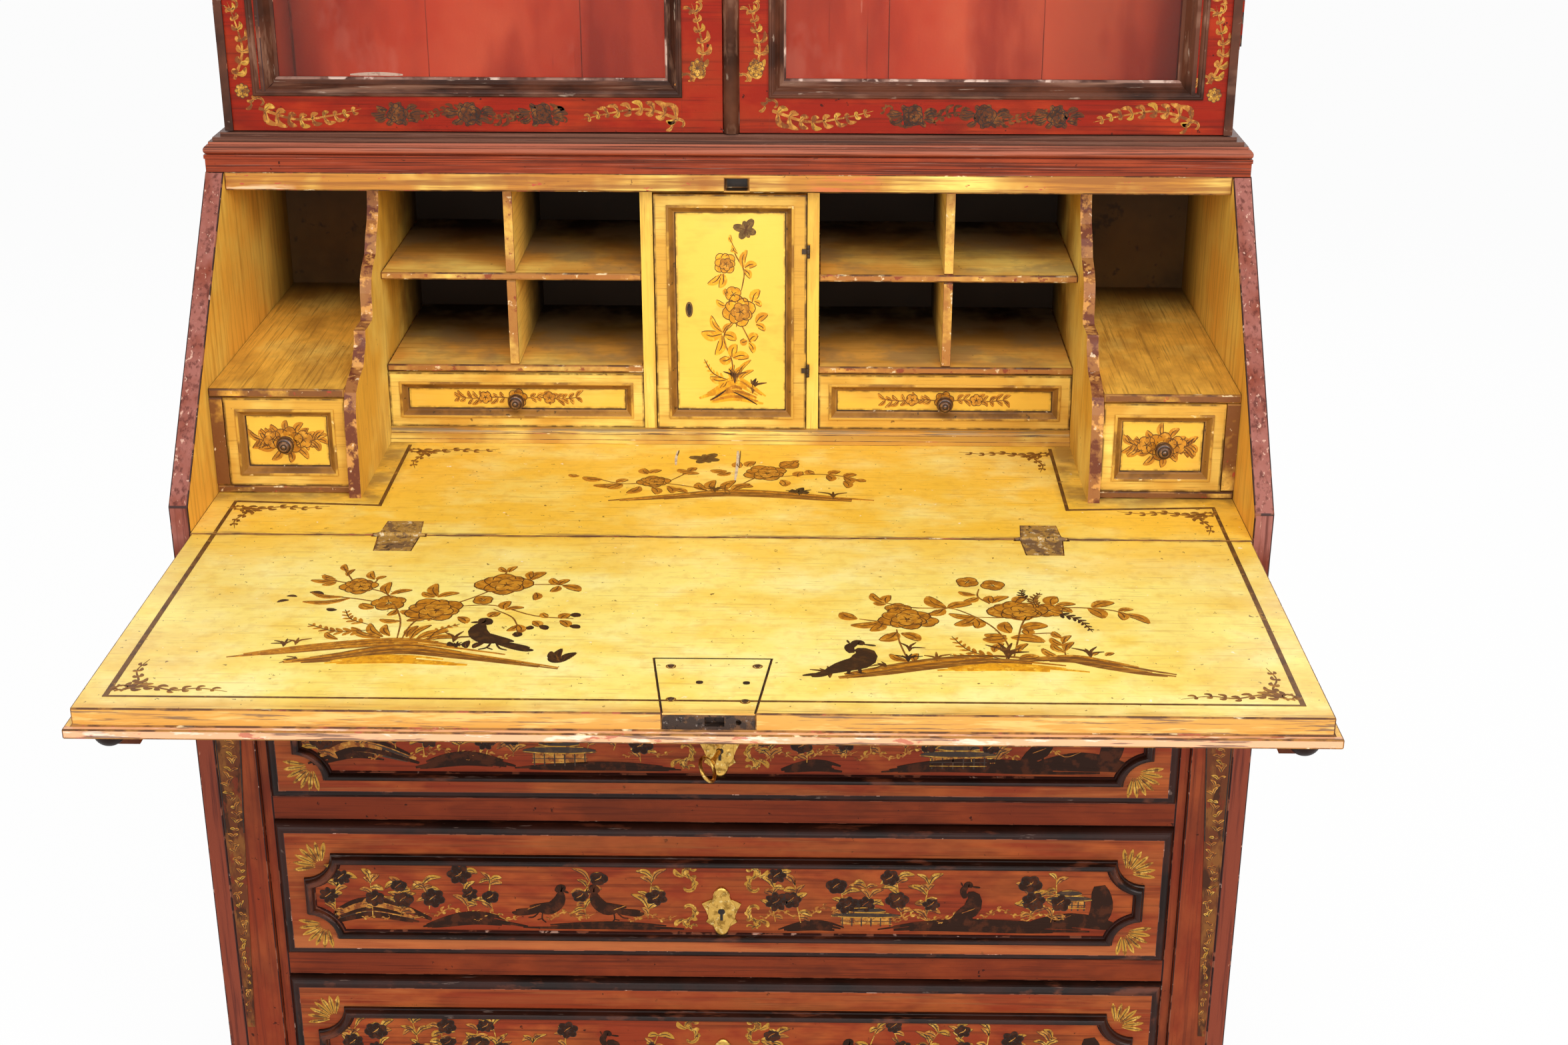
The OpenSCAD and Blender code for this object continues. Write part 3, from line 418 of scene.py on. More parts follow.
# Lopers: the desk's red, with their turned knobs dark.
LOPER = red("red_japanned_loper", "y", extra=[("24140E", 1.0, None, None, (("y", -284.5, -285.2),))])
DRESS = {
    "side_boards": (SIDES, RUBBED_RED, 1.5), "desk_top": (TOP_RAIL, RUBBED_YELLOW, 1.4),
    "bed_boards": (WRITING, RUBBED_YELLOW, 0.8), "back_boards": (BACK,),
    "front_rails": (RAILS, RUBBED_RED, 1.0), "corner_stiles": (RED_UPRIGHT, RUBBED_RED, 1.0),
    "gilt_strips": (GILT,), "dust_boards": (OAK,), "loper_cases": (OAK,),
    "base_moulding": (DARK, RUBBED_RED, 0.8), "feet": (DARK,), "waist_moulding": (RED_DARK, RUBBED_RED, 0.7),
    "upper_sides": (CABINET_SIDES, RUBBED_RED, 1.0), "upper_boards": (PLANKS, RUBBED_RED, 1.0),
    "upper_back": (PLANKS,), "cornice": (RED_DARK, RUBBED_RED, 0.8), "cornice_top": (OAK,),
    "upper_hinges": (IRON,), "partitions": (PARTITIONS, RUBBED_YELLOW, 1.8),
    "housings": (HOUSING, RUBBED_YELLOW, 1.8), "block_shelves": (SHELVES, RUBBED_YELLOW, 1.8),
    "dividers": (DIVIDERS, RUBBED_YELLOW, 1.6), "cupboard_walls": (YELLOW_UPRIGHT, RUBBED_YELLOW, 1.2),
    "plinth": (PLINTH, RUBBED_YELLOW, 0.6), "bed_hinges": (HINGE_IRON,),
    "fall_board": (WRITING, RUBBED_YELLOW, 1.6), "fall_hinges": (HINGE_IRON,), "lock_cover": (WRITING,),
    "fall_lock": (IRON,), "left_loper": (LOPER, RUBBED_RED, 1.0), "right_loper": (LOPER, RUBBED_RED, 1.0),
    "key": (BRASS,), "drawer_1_bolt": (IRON,), "left_door": (DOOR_RED, RUBBED_RED, 0.8),
    "right_door": (DOOR_RED, RUBBED_RED, 0.8), "left_door_moulding": (BROWN, RUBBED_RED, 0.6),
    "right_door_moulding": (BROWN, RUBBED_RED, 0.6), "left_door_glass": (GLASS,),
    "right_door_glass": (GLASS,),
}
for name, sizes in FRONTS.items():
    DRESS[name] = (front_panel(name + "_japanning", *sizes), RUBBED_YELLOW, 0.9)
for i in (1, 2, 3):
    DRESS["drawer_%d_front" % i] = (RED, RUBBED_RED, 0.8)
    DRESS["drawer_%d_moulding" % i] = (DARK, RUBBED_RED, 0.6)
    DRESS["drawer_%d_box" % i] = (OAK,)
    DRESS["drawer_%d_lock" % i] = (BRASS,)
for name, parts in DRESS.items():
    dress(name, *parts)


# ---------------------------------------------------------------- swept mouldings

def make_piece(name, verts, faces, materials, body, which=None, smooth=False):
    """Mesh object from bed coordinates in mm, riding on its body."""
    me = bpy.data.meshes.new(name)
    rows = faces.tolist() if isinstance(faces, np.ndarray) else faces
    me.from_pydata(at_bed(verts).tolist(), [], rows)
    for m in materials:
        me.materials.append(m)
    if which is not None:
        me.polygons.foreach_set("material_index", np.asarray(which, np.int32))
    if smooth:
        me.polygons.foreach_set("use_smooth", np.ones(len(me.polygons), bool))
    me.update()
    o = bpy.data.objects.new(name, me)
    bpy.context.scene.collection.objects.link(o)
    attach(o, body)
    return o


def scooped_outline(w, h, r, d, k=9):
    """Corner by corner round a rectangle of half sizes w - d and h - d: each corner is an arc of
    radius r + d about the corner of the larger rectangle, k points long; with r = 0 it is a point."""
    if r == 0:
        q = np.array([[w - d, h - d]])
    else:
        big = r + d
        a = math.asin(d / big) if d > 0 else 0.0
        t = np.linspace(math.pi + a, 1.5 * math.pi - a, k)[::-1]
        q = np.stack([w + big * np.cos(t), h + big * np.sin(t)], 1)
    rings = []
    for sx, sz in ((1, 1), (-1, 1), (-1, -1), (1, -1)):
        part = q * (sx, sz)
        rings.append(part if sx * sz > 0 else part[::-1])
    return np.vstack(rings)


def frame_moulding(cx, cz, w, h, r, y, profile):
    """Profile carried round an outline in the x-z plane: each profile point is (inward distance,
    height toward the front), each makes one ring, and neighbouring rings are joined with faces,
    the last with the first, so that the moulding is closed. Gives (vertices, faces, ring of face)."""
    rings = [scooped_outline(w, h, r, d) for d, _ in profile]
    n = len(rings[0])
    verts = [np.stack([cx + q[:, 0], np.full(n, y - up), cz + q[:, 1]], 1)
             for q, (_, up) in zip(rings, profile)]
    i = np.arange(n)
    j = (i + 1) % n
    m = len(profile)
    faces = [np.stack([a * n + i, a * n + j, b * n + j, b * n + i], 1)
             for a, b in zip(range(m), list(range(1, m)) + [0])]
    return np.vstack(verts), np.vstack(faces), np.repeat(np.arange(m), n)


def join(parts):
    """Several (vertices, faces, index) lists as one."""
    start = np.cumsum([0] + [len(p[0]) for p in parts[:-1]])
    return (np.vstack([p[0] for p in parts]), np.vstack([p[1] + s for p, s in zip(parts, start)]),
            np.concatenate([p[2] for p in parts]))


# Bead round each sunk panel: a flat lip, an ovolo and a small step down to the panel.
BEAD_LINE = [(-0.4, -0.4), (-0.4, 1.7), (0.2, 2.1), (1.9, 2.1), (2.4, 1.5), (3.2, 0.9), (4.3, -0.3),
             (5.6, -2.0), (6.6, -3.4), (7.4, -3.9), (8.3, -4.0), (8.9, -4.6), (9.3, -5.7), (9.3, -6.3)]
for name, (x0, x1, z0, z1, y, mx, mz) in FRONTS.items():
    v, f, ring = frame_moulding((x0 + x1) / 2, (z0 + z1) / 2, (x1 - x0) / 2 - mx, (z1 - z0) / 2 - mz, 0, y,
                                BEAD_LINE)
    make_piece(name + "_bead", v, f, [BEAD_LIP, BEAD, BEAD_QUIRK], name,
               np.digitize(ring, [4, 10]))


def turned_knob(name, x, y, z):
    """Ringed front of a small turned knob, whose ball's middle is (x, y, z). At angle a from the
    knob's axis, measured at that middle, the radius is 8.8 + 0.7 cos(6 a) ** 2; its low places are
    the grooves. It runs past the widest place to a = 2.2 and ends on the wooden neck inside."""
    n, m, last = 32, 44, 2.2
    a = np.linspace(0.03, last, m)[:, None]
    ripple = np.cos(6 * a) ** 2
    r = 8.8 + 0.7 * ripple
    r[-1] = 6.9
    phi = 2 * np.pi * np.arange(n) / n
    rings = np.stack([x + r * np.sin(a) * np.cos(phi), y - r * np.cos(a) + 0 * phi,
                      z + r * np.sin(a) * np.sin(phi)], 2)
    tips = [[x, y - r[0, 0], z], [x, y - r[-1, 0] * math.cos(last), z]]
    j, k = np.arange(n), (np.arange(n) + 1) % n
    faces = [list(map(int, q)) for b in range(m - 1)
             for q in np.stack([b * n + j, (b + 1) * n + j, (b + 1) * n + k, b * n + k], 1)]
    faces += [[m * n, int(p), int(q)] for p, q in zip(j, k)]
    faces += [[m * n + 1, (m - 1) * n + int(q), (m - 1) * n + int(p)] for p, q in zip(j, k)]
    groove = np.repeat((ripple[:-1, 0] < 0.2).astype(int), n)
    make_piece(name + "_turned_knob", np.vstack([rings.reshape(-1, 3), tips]), faces,
               [KNOB, KNOB_GROOVE], name,
               np.concatenate([groove, np.zeros(2 * n, int)]), smooth=True)


for name in SMALL_DRAWERS:
    x0, x1, z0, z1, y = FRONTS[name][:5]
    turned_knob(name, (x0 + x1) / 2, y - 7.5, (z0 + z1) / 2)


# ---------------------------------------------------------------- long drawers

OPEN_X = 485.5  # half width of a drawer front
DRAWER_H = 167.33
PITCH = 198.33
TOPS = [-141.0 - PITCH * i for i in range(3)]  # upper edges of the three fronts
FIELD_Y, PANEL_Y = -2.0, -5.0  # faces of the flat field and of the raised panel
RING_X, RING_IN, SCOOP = 457.0, 30.0, 31.0  # half width of the ring, its inset, its corner's radius
DROP = 5.0  # the ring's middle lies this much below the front's
# Ovolo round the front, from its back edge over the round to the field.
OVOLO = [(0, -10), (0, -7.9)]
OVOLO += [(10 - 10 * math.cos(a), -8 + 10 * math.sin(a)) for a in np.linspace(0.15, math.pi / 2, 8)]
OVOLO += [(10.6, 1.9), (10.6, -10)]
# Ring moulding: astragal, hollow and inner quirk between the field and the raised panel.
RING = [(0, -0.4), (0, 2.2), (0.6, 3.4), (1.4, 3.8), (2.0, 5.0), (2.6, 7.0), (3.6, 8.8), (5.0, 9.9),
        (6.6, 10.4), (8.2, 10.0), (9.4, 8.8), (10.2, 7.2), (10.6, 5.6), (11.2, 5.0), (11.7, 4.0), (12, 2.6),
        (12, -0.4)]
for i, zt in enumerate(TOPS):
    cz = zt - DRAWER_H / 2
    v1, f1, r1 = frame_moulding(0, cz, OPEN_X, DRAWER_H / 2, 0, 0, OVOLO)
    v2, f2, r2 = frame_moulding(0, cz - DROP, RING_X, DRAWER_H / 2 - RING_IN, SCOOP, FIELD_Y, RING)
    # rubbed red shows on the ovolo's inner step and low on the ring's inner side
    v, f, rubbed = join([(v1, f1, np.where(r1 >= len(OVOLO) - 3, 1, 0)),
                         (v2, f2, np.where((r2 > 12) & (r2 < 15), 1, 0))])
    o = make_piece("drawer_%d_mouldings" % (i + 1), v, f, [DARK, RUBBED_RED], "drawer_%d" % (i + 1),
                   rubbed)
    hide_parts("drawer_%d_moulding" % (i + 1))


# ---------------------------------------------------------------- painted ornament

def curve(points, n):
    """Smooth line of n points through the given ones: on each span the Catmull-Rom cubic, whose
    slope at a point is half the chord between its neighbours."""
    p = np.asarray(points, float)
    p = np.vstack([2 * p[0] - p[1], p, 2 * p[-1] - p[-2]])
    s = np.linspace(0, len(p) - 3, n)
    i = np.minimum(s.astype(int), len(p) - 4)
    f = (s - i)[:, None]
    a, b, c, d = p[i], p[i + 1], p[i + 2], p[i + 3]
    return 0.5 * (2 * b + (c - a) * f + (2 * a - 5 * b + 4 * c - d) * f ** 2
                  + (3 * b - a - 3 * c + d) * f ** 3)


def sideways(p):
    """Unit vectors to the left of a line of points."""
    t = np.gradient(p, axis=0)
    t /= np.maximum(np.linalg.norm(t, axis=1, keepdims=True), 1e-9)
    return np.stack([-t[:, 1], t[:, 0]], 1)


def stroke(points, wide, paint, layer=1, ends=0.5, n=9):
    """One brush mark: its middle line, half width wide / 2 * sin(pi t) ** ends, layer and paint."""
    t = np.linspace(0.03, 0.97, n)
    return curve(points, n), 0.1 + 0.5 * wide * np.sin(np.pi * t) ** ends, layer, paint


def bar(x0, z0, x1, z1, wide, paint, layer=1):
    """Straight ruled line of even width."""
    return np.array([[x0, z0], [x1, z1]], float), np.full(2, wide / 2), layer, paint


def leaf(x0, z0, x1, z1, wide, fill="wash", pen="pen", bow=0.14, layer=1):
    """Leaf from stalk to tip: its rib bows aside by bow of its length; pen lines follow the rib
    and one edge."""
    a, b = np.array([x0, z0], float), np.array([x1, z1], float)
    side = np.array([a[1] - b[1], b[0] - a[0]])
    rib = [a, 0.5 * (a + b) + bow * side, b]
    body = stroke(rib, wide, fill, layer, 0.75)
    edge = body[0] + sideways(body[0]) * (body[1] * (1 if bow < 0 else -1))[:, None]
    fine = min(1.0, 0.07 * wide + 0.35)
    return [body, stroke(body[0][:7], fine, pen, layer + 1, 0.4, 6),
            (edge[2:], np.full(7, fine * 0.4), layer + 1, pen)]


def bloom(x, z, r, petals=5, turn=0.0, fill="wash", pen="pen", layer=1, wide=0.85, flat=1.0):
    """Flower seen from the front: round petals about its middle, each a broad stroke with a pen
    line round it, and short stamens; flat squashes it along z."""
    marks = []
    for a in np.radians(turn) + 2 * np.pi * np.arange(petals) / petals:
        u = np.array([np.cos(a), np.sin(a) * flat])
        v = np.array([-u[1], u[0]])
        t = np.linspace(0.03, 0.97, 9)
        line = np.array([x, z]) + u * r * (0.12 + 0.88 * t)[:, None]
        half = 0.1 + wide * r * np.sin(np.pi / petals) * np.sin(np.pi * t ** 0.8) ** 0.5
        marks.append((line, half, layer, fill))
        rim = np.vstack([(line + v * half[:, None])[3:], (line - v * half[:, None])[:2:-1]])
        marks.append((rim, np.full(len(rim), 0.25 + r * 0.011), layer + 1, pen))
        marks.append(stroke([np.array([x, z]), np.array([x, z]) + u * r * 0.45], 0.5 + r * 0.015, pen,
                            layer + 1, 0.4, 4))
    return marks


def rose(x, z, r, turn=0.0, fill="wash", pen="pen", flat=1.0):
    """Double flower: eight ruffled outer petals, every other one shorter, and an inner whorl of
    five, set off the middle."""
    inner = "amber" if fill in ("wash", "lemon") else fill
    return (bloom(x, z, r, 4, turn, fill, pen, 1, 0.62, flat)
            + bloom(x, z, r * 0.86, 4, turn + 45, fill, pen, 2, 0.55, flat)
            + bloom(x + 0.1 * r, z - 0.08 * r, r * 0.58, 5, turn + 25, inner, pen, 4, 0.8, flat))


def fern(x0, z0, x1, z1, count, size, fill="wash", bow=0.15):
    """Rib with leaflets in pairs that shorten to its tip."""
    a, b = np.array([x0, z0], float), np.array([x1, z1], float)
    side = np.array([a[1] - b[1], b[0] - a[0]]) * bow
    rib = [a, 0.5 * (a + b) + side, b]
    marks = [stroke(rib, 0.9, "pen", 2, 0.3, 12)]
    line = curve(rib, count + 2)
    left = sideways(line)
    along = np.stack([left[:, 1], -left[:, 0]], 1)
    for k in range(1, count + 1):
        long = size * (1.15 - 0.6 * k / count)
        for s in (-1, 1):
            tip = line[k] + (0.75 * s * left[k] + 0.8 * along[k]) * long
            mid = 0.5 * (line[k] + tip) + 0.1 * long * along[k]
            marks.append(stroke([line[k], mid, tip], long * 0.42, fill, 1, 0.7, 6))
    return marks


def tuft(x, z, tall, blades, fill, lean, seed):
    """Grass: blades spread from one root, each bending outward."""
    g = np.random.default_rng(seed)
    marks = []
    for k in range(blades):
        a = math.radians(lean) + (k / max(blades - 1, 1) - 0.5) * 1.5
        h = tall * g.uniform(0.7, 1.05)
        tip = (x + h * math.sin(a), z + h * math.cos(a))
        mid = (x + 0.35 * h * math.sin(a * 0.5), z + 0.55 * h * math.cos(a * 0.5))
        marks.append(stroke([(x, z), mid, tip], tall * 0.09 + 0.5, fill, 2, 0.6, 6))
    return marks


def bank(points, deep, streaks, paints, seed):
    """Ground: long brush streaks side by side along a line, thinning to its ends."""
    g = np.random.default_rng(seed)
    line = curve(points, 28)
    left = sideways(line)
    marks = []
    for k in range(streaks):
        a, b = int(g.integers(0, 6)), int(g.integers(20, 28))
        off = (k / max(streaks - 1, 1) - 0.5) * deep
        arch = np.sin(np.linspace(0.15, np.pi - 0.15, 28))[:, None]
        p = (line + left * off * arch)[a:b]
        marks.append(stroke(p[::3], deep / streaks * g.uniform(1.3, 2.2), paints[k % len(paints)], 1 + k % 2,
                            0.35, 16))
    return marks


# Birds as brush marks about their feet: (points, width, taper, layer). The songbird looks to the
# left and stands on long legs with its tail low; the waterbird is plump and looks to the right.
SONGBIRD = [([(-20, 56), (-22, 38), (-14, 22), (-2, 14)], 19, 0.6, 3),
            ([(-24, 58), (-18, 60), (-13, 52)], 12, 0.5, 3), ([(-22, 57), (-31, 56)], 3.4, 0.9, 3),
            ([(-6, 18), (12, 8), (30, 3)], 10, 0.6, 3), ([(4, 8), (24, 0), (34, -2)], 7, 0.6, 3),
            ([(-16, 34), (0, 22), (14, 16)], 8, 0.7, 4), ([(-6, 14), (-9, 3), (-16, -1)], 1.8, 0.3, 3),
            ([(-2, 13), (3, 2), (10, -2)], 1.8, 0.3, 3), ([(-9, 3), (-3, -1)], 1.4, 0.3, 3)]
WATERBIRD = [([(-28, -2), (-10, 12), (6, 22), (10, 40), (2, 48)], 24, 0.7, 3),
             ([(-2, 40), (-4, 52), (2, 60)], 9, 0.3, 3), ([(-2, 58), (4, 62), (9, 57)], 9, 0.5, 3),
             ([(8, 58), (16, 56), (20, 55)], 2.6, 0.7, 3), ([(-20, 2), (-38, -8)], 9, 0.6, 3),
             ([(-30, -2), (-46, -6)], 4, 0.6, 3), ([(-4, 10), (-6, -2)], 3, 0.2, 3),
             ([(4, 12), (5, 0)], 3, 0.2, 3), ([(-8, -2), (0, -3)], 2, 0.4, 3),
             ([(2, 0), (10, -1)], 2, 0.4, 3), ([(-4, 60), (-6, 66)], 2, 0.7, 3)]


def bird(kind, x, z, size=1.0, fill="dark", flip=1):
    """A bird of that kind with its feet at (x, z), mirrored where flip is -1."""
    return [stroke([(x + flip * size * a, z + size * b) for a, b in points], size * wide, fill, layer,
                   taper, 10)
            for points, wide, taper, layer in kind]


def moth(x, z, r):
    """Wings and tail, each (angle, length, width) in shares of r, about a thin body."""
    marks = []
    for a, long, wide in ((35, 1.0, 0.62), (145, 1.0, 0.62), (-40, 0.85, 0.6), (-140, 0.85, 0.6),
                          (80, 0.7, 0.4), (-88, 0.7, 0.4)):
        u = np.array([math.cos(math.radians(a + 20.0)), math.sin(math.radians(a + 20.0))])
        marks.append(stroke([(x, z), np.array([x, z]) + u * r * long], r * wide, "moth", 1, 0.45))
        marks.append(stroke([(x, z), np.array([x, z]) + u * r * long * 0.7], 0.6, "pen", 2, 0.3, 4))
    body = stroke([(x - r * 0.1, z - r * 0.4), (x + r * 0.15, z + r * 0.45)], r * 0.16, "pen", 3, 0.4)
    return marks + [body]


def volute(x, z, size, turn, hand, fill, pen, leaves):
    """Scroll: a spiral whose radius falls as it turns, from a thick back to a curled eye, with
    leaves that spring from its outside and one pen line inside it."""
    t = np.linspace(0, 1, 14)
    a = math.radians(turn) + hand * (t * 5.0)
    rad = size * (0.62 * (1 - t) ** 1.3 + 0.10)
    line = np.stack([x + rad * np.cos(a), z + rad * np.sin(a)], 1)
    marks = [(line, 0.12 + 0.095 * size * np.sin(np.pi * (0.05 + 0.9 * t)) ** 0.6, 1, fill),
             (line[1:-3], np.full(10, 0.2), 2, pen)]
    for k in range(leaves):
        b = math.radians(turn) + hand * (0.25 + k * 0.62)
        base = np.array([x, z]) + size * (0.58 - 0.1 * k) * np.array([math.cos(b), math.sin(b)])
        tip = base + size * (0.62 - 0.09 * k) * np.array([math.cos(b - hand * 0.5), math.sin(b - hand * 0.5)])
        mid = 0.5 * (base + tip) - hand * 0.12 * size * np.array([-math.sin(b), math.cos(b)])
        marks.append(stroke([base, mid, tip], 0.26 * size, fill, 1, 0.7, 7))
        marks.append(stroke([base, mid], 0.4, pen, 2, 0.3, 4))
    return marks


def fan(x, z, r, a0, a1, count, fill, pen):
    """Shell: drop-shaped strokes spread from one corner."""
    marks = []
    corner = np.array([x, z])
    for a in np.radians(np.linspace(a0, a1, count)):
        u = np.array([math.cos(a), math.sin(a)])
        marks.append(stroke([corner + u * r * k for k in (0.22, 0.7, 1.0)], r * 0.17, fill, 1, 0.9, 8))
        marks.append(stroke([corner + u * r * k for k in (0.3, 0.85)], 0.6, pen, 2, 0.3, 4))
    return marks


def pavilion(x, z, w, h):
    """Garden house on piles: gold walls with dark posts and rails, under a dark swept roof with gold
    eaves and ridge, and a smaller roof above it."""
    marks = [bar(x - w * 0.44, z + h * 0.3, x + w * 0.44, z + h * 0.3, h * 0.36, "leafgold", 1)]
    for s in np.linspace(-0.42, 0.42, 6):
        marks.append(bar(x + w * s, z, x + w * s, z + h * 0.5, 1.4, "dark", 2))
    for k, paint in ((0.12, "gold"), (0.27, "dark")):
        marks.append(bar(x - w * 0.46, z + h * k, x + w * 0.46, z + h * k, 0.9, paint, 2))
    for up, f in ((0.58, 1.0), (0.84, 0.55)):
        y = z + h * up
        roof = [(x - w * 0.6 * f, y - h * 0.03), (x, y + h * 0.05), (x + w * 0.6 * f, y - h * 0.03)]
        eaves = [(x - w * 0.62 * f, y - h * 0.04), (x - w * 0.3 * f, y - h * 0.1), (x, y - h * 0.11),
                 (x + w * 0.3 * f, y - h * 0.1), (x + w * 0.62 * f, y - h * 0.04)]
        ridge = [(x - w * 0.4 * f, y + h * 0.12), (x, y + h * 0.15), (x + w * 0.4 * f, y + h * 0.12)]
        marks += [stroke(roof, h * 0.27, "dark", 3, 0.4, 13), stroke(eaves, 1.2, "gold", 4, 0.3, 13),
                  stroke(ridge, 1.0, "gold", 4, 0.3, 9)]
    return marks


def moved(marks, dx=0.0, dz=0.0, turn=0.0, flip=1):
    """The marks mirrored, turned and moved together."""
    c, s = math.cos(math.radians(turn)), math.sin(math.radians(turn))
    out = []
    for p, half, layer, paint in marks:
        q = np.stack([flip * p[:, 0] * c - p[:, 1] * s + dx, flip * p[:, 0] * s + p[:, 1] * c + dz], 1)
        out.append((q if flip > 0 else q[::-1], half if flip > 0 else half[::-1], layer, paint))
    return out


# Paints of the ornament: transparent ochre and brown washes and a pen line on the yellow ground, gold size,
# umber and lamp black on the red, and small fittings and flaws painted on with them; the black also serves as
# painted shade in cracks, screw slots, holes and keyholes.
PAINTS = {
    "wash": finish("ochre_wash", "BE7C1C", [
        ("8E5614", 0.8, 9.0, (0.46, 0.58)), ("DDA23A", 0.8, 7.0, (0.56, 0.66))], 0.45),
    "amber": finish("amber_wash", "C98A26", [
        ("A0661A", 0.8, 8.0, (0.46, 0.58)), ("E0AC48", 0.7, 7.0, (0.58, 0.66))], 0.45),
    "lemon": finish("yellow_wash", "E2A01E", [
        ("BE7E16", 0.8, 9.0, (0.46, 0.58)), ("F2BE3C", 0.8, 6.0, (0.56, 0.64))], 0.45),
    "pen": finish("sepia_pen_line", "4E2E10", [("7A4E1C", 0.7, 8.0, (0.50, 0.6))], 0.5),
    "brown": finish("brown_ground_wash", "7A4C18", [
        ("A87428", 0.8, (26, 5, 5), (0.50, 0.6)), ("5A3410", 0.8, (18, 4, 4), (0.54, 0.62))], 0.5),
    "dark": finish("lamp_black_figure", "2E1E12", [("4A3018", 0.8, 9.0, (0.5, 0.6))], 0.45),
    "moth": finish("grey_brown_wash", "5E4420", [("7E5E2C", 0.8, 6.0, (0.5, 0.6))], 0.5),
    "line": finish("umber_border_line", "6E481C", [
        ("4E3014", 0.8, 16.0, (0.46, 0.56)), ("A87A34", 0.7, 12.0, (0.60, 0.66))], 0.5),
    "gold": finish("rubbed_gold_paint", "A8782A", [
        ("CFA04A", 0.8, 7.0, (0.52, 0.62)), ("6E3C18", 0.85, 8.0, (0.48, 0.42))], 0.45,
        metallic=0.1, specular=0.15),
    "leafgold": finish("browned_gold_paint", "9A5E24", [
        ("C08A3C", 0.8, 6.0, (0.50, 0.60)), ("6A3014", 0.85, 9.0, (0.48, 0.42))], 0.45, specular=0.15),
    "soot": finish("lamp_black_wash", "2A160C", [("4A2412", 0.8, 14.0, (0.5, 0.6))], 0.45, specular=0.1),
    "flora": finish("umber_flower_on_red", "542A12", [
        ("7A481C", 0.7, 9.0, (0.5, 0.6)), ("34180A", 0.8, 8.0, (0.46, 0.40))], 0.45, specular=0.15),
    "pale": finish("bare_gesso", "D8C8B0", [("A89078", 0.7, 6.0, (0.5, 0.6))], 0.7),
    "black": finish("black_pen_and_painted_shadow", "1C120C", [("3A2416", 0.7, 8.0, (0.5, 0.6))], 0.6),
    "screw": finish("rusty_screw_head", "5E4430", [("9A8468", 0.7, 4.0, (0.5, 0.6))], 0.45, metallic=0.5),
    "seam": finish("plank_seam_and_painted_corner_shadow", "5A1A10", [("8A2C1A", 0.8, (20, 20, 60), (0.5, 0.6))], 0.8,
                   specular=0.05),
    "chalk": finish("pale_chalky_streak", "C4563C", [("D08068", 0.7, 10.0, (0.5, 0.6))], 0.8, specular=0.05),
}
# Height of paint over its surface in mm: of the lowest layer, of each layer on it, and of each
# next bar in a layer, which starts again after so many bars; every bar's foot is sunk a little.
PAINT_UP, LAYER_UP, BAR_UP, BAR_COUNT, FOOT = 0.12, 0.09, 0.0045, 19, -0.04


def paint_on(name, body, marks, plane, depth):
    """Builds the marks as one mesh of thin bars of paint on a surface. Plane "bed" has them in
    x-y at height depth, "front" in x-z facing forward at y = depth. Each bar has four rows along
    its line, left and right at the surface and at the height of its layer, with closed ends; in
    one layer each bar is a hair higher than the last, so that bars that cross share no plane."""
    verts, faces, which, used, start = [], [], [], [], 0
    for k, (p, half, layer, paint) in enumerate(marks):
        if paint not in used:
            used.append(paint)
        n = len(p)
        left = sideways(p) * half[:, None]
        up = PAINT_UP + LAYER_UP * layer + BAR_UP * (k % BAR_COUNT)
        rows = [(p + left, FOOT), (p + left, up), (p - left, up), (p - left, FOOT)]
        for q, h in rows:
            if plane == "bed":
                verts.append(np.stack([q[:, 0], q[:, 1], np.full(n, depth + h)], 1))
            else:
                verts.append(np.stack([q[:, 0], np.full(n, depth - h), q[:, 1]], 1))
        i = np.arange(n - 1)
        for a, b in ((0, 1), (1, 2), (2, 3), (3, 0)):
            faces.append(start + np.stack([a * n + i, b * n + i, b * n + i + 1, a * n + i + 1], 1))
        ends = np.array([[3 * n, 2 * n, n, 0], [n - 1, 2 * n - 1, 3 * n - 1, 4 * n - 1]])
        faces.append(start + ends)
        which += [used.index(paint)] * (4 * (n - 1) + 2)
        start += 4 * n
    return make_piece(name, np.vstack(verts), np.vstack(faces), [PAINTS[paint] for paint in used], body,
                      which)


def leaves(rows, **k):
    """Many leaves from rows of (x0, z0, x1, z1, width)."""
    return [m for row in rows for m in leaf(*row, **k)]


def stems(lines, wide=1.5):
    """Many stems from lists of points."""
    return [stroke(p, wide, "brown", 1, 0.25, 4 * len(p)) for p in lines]


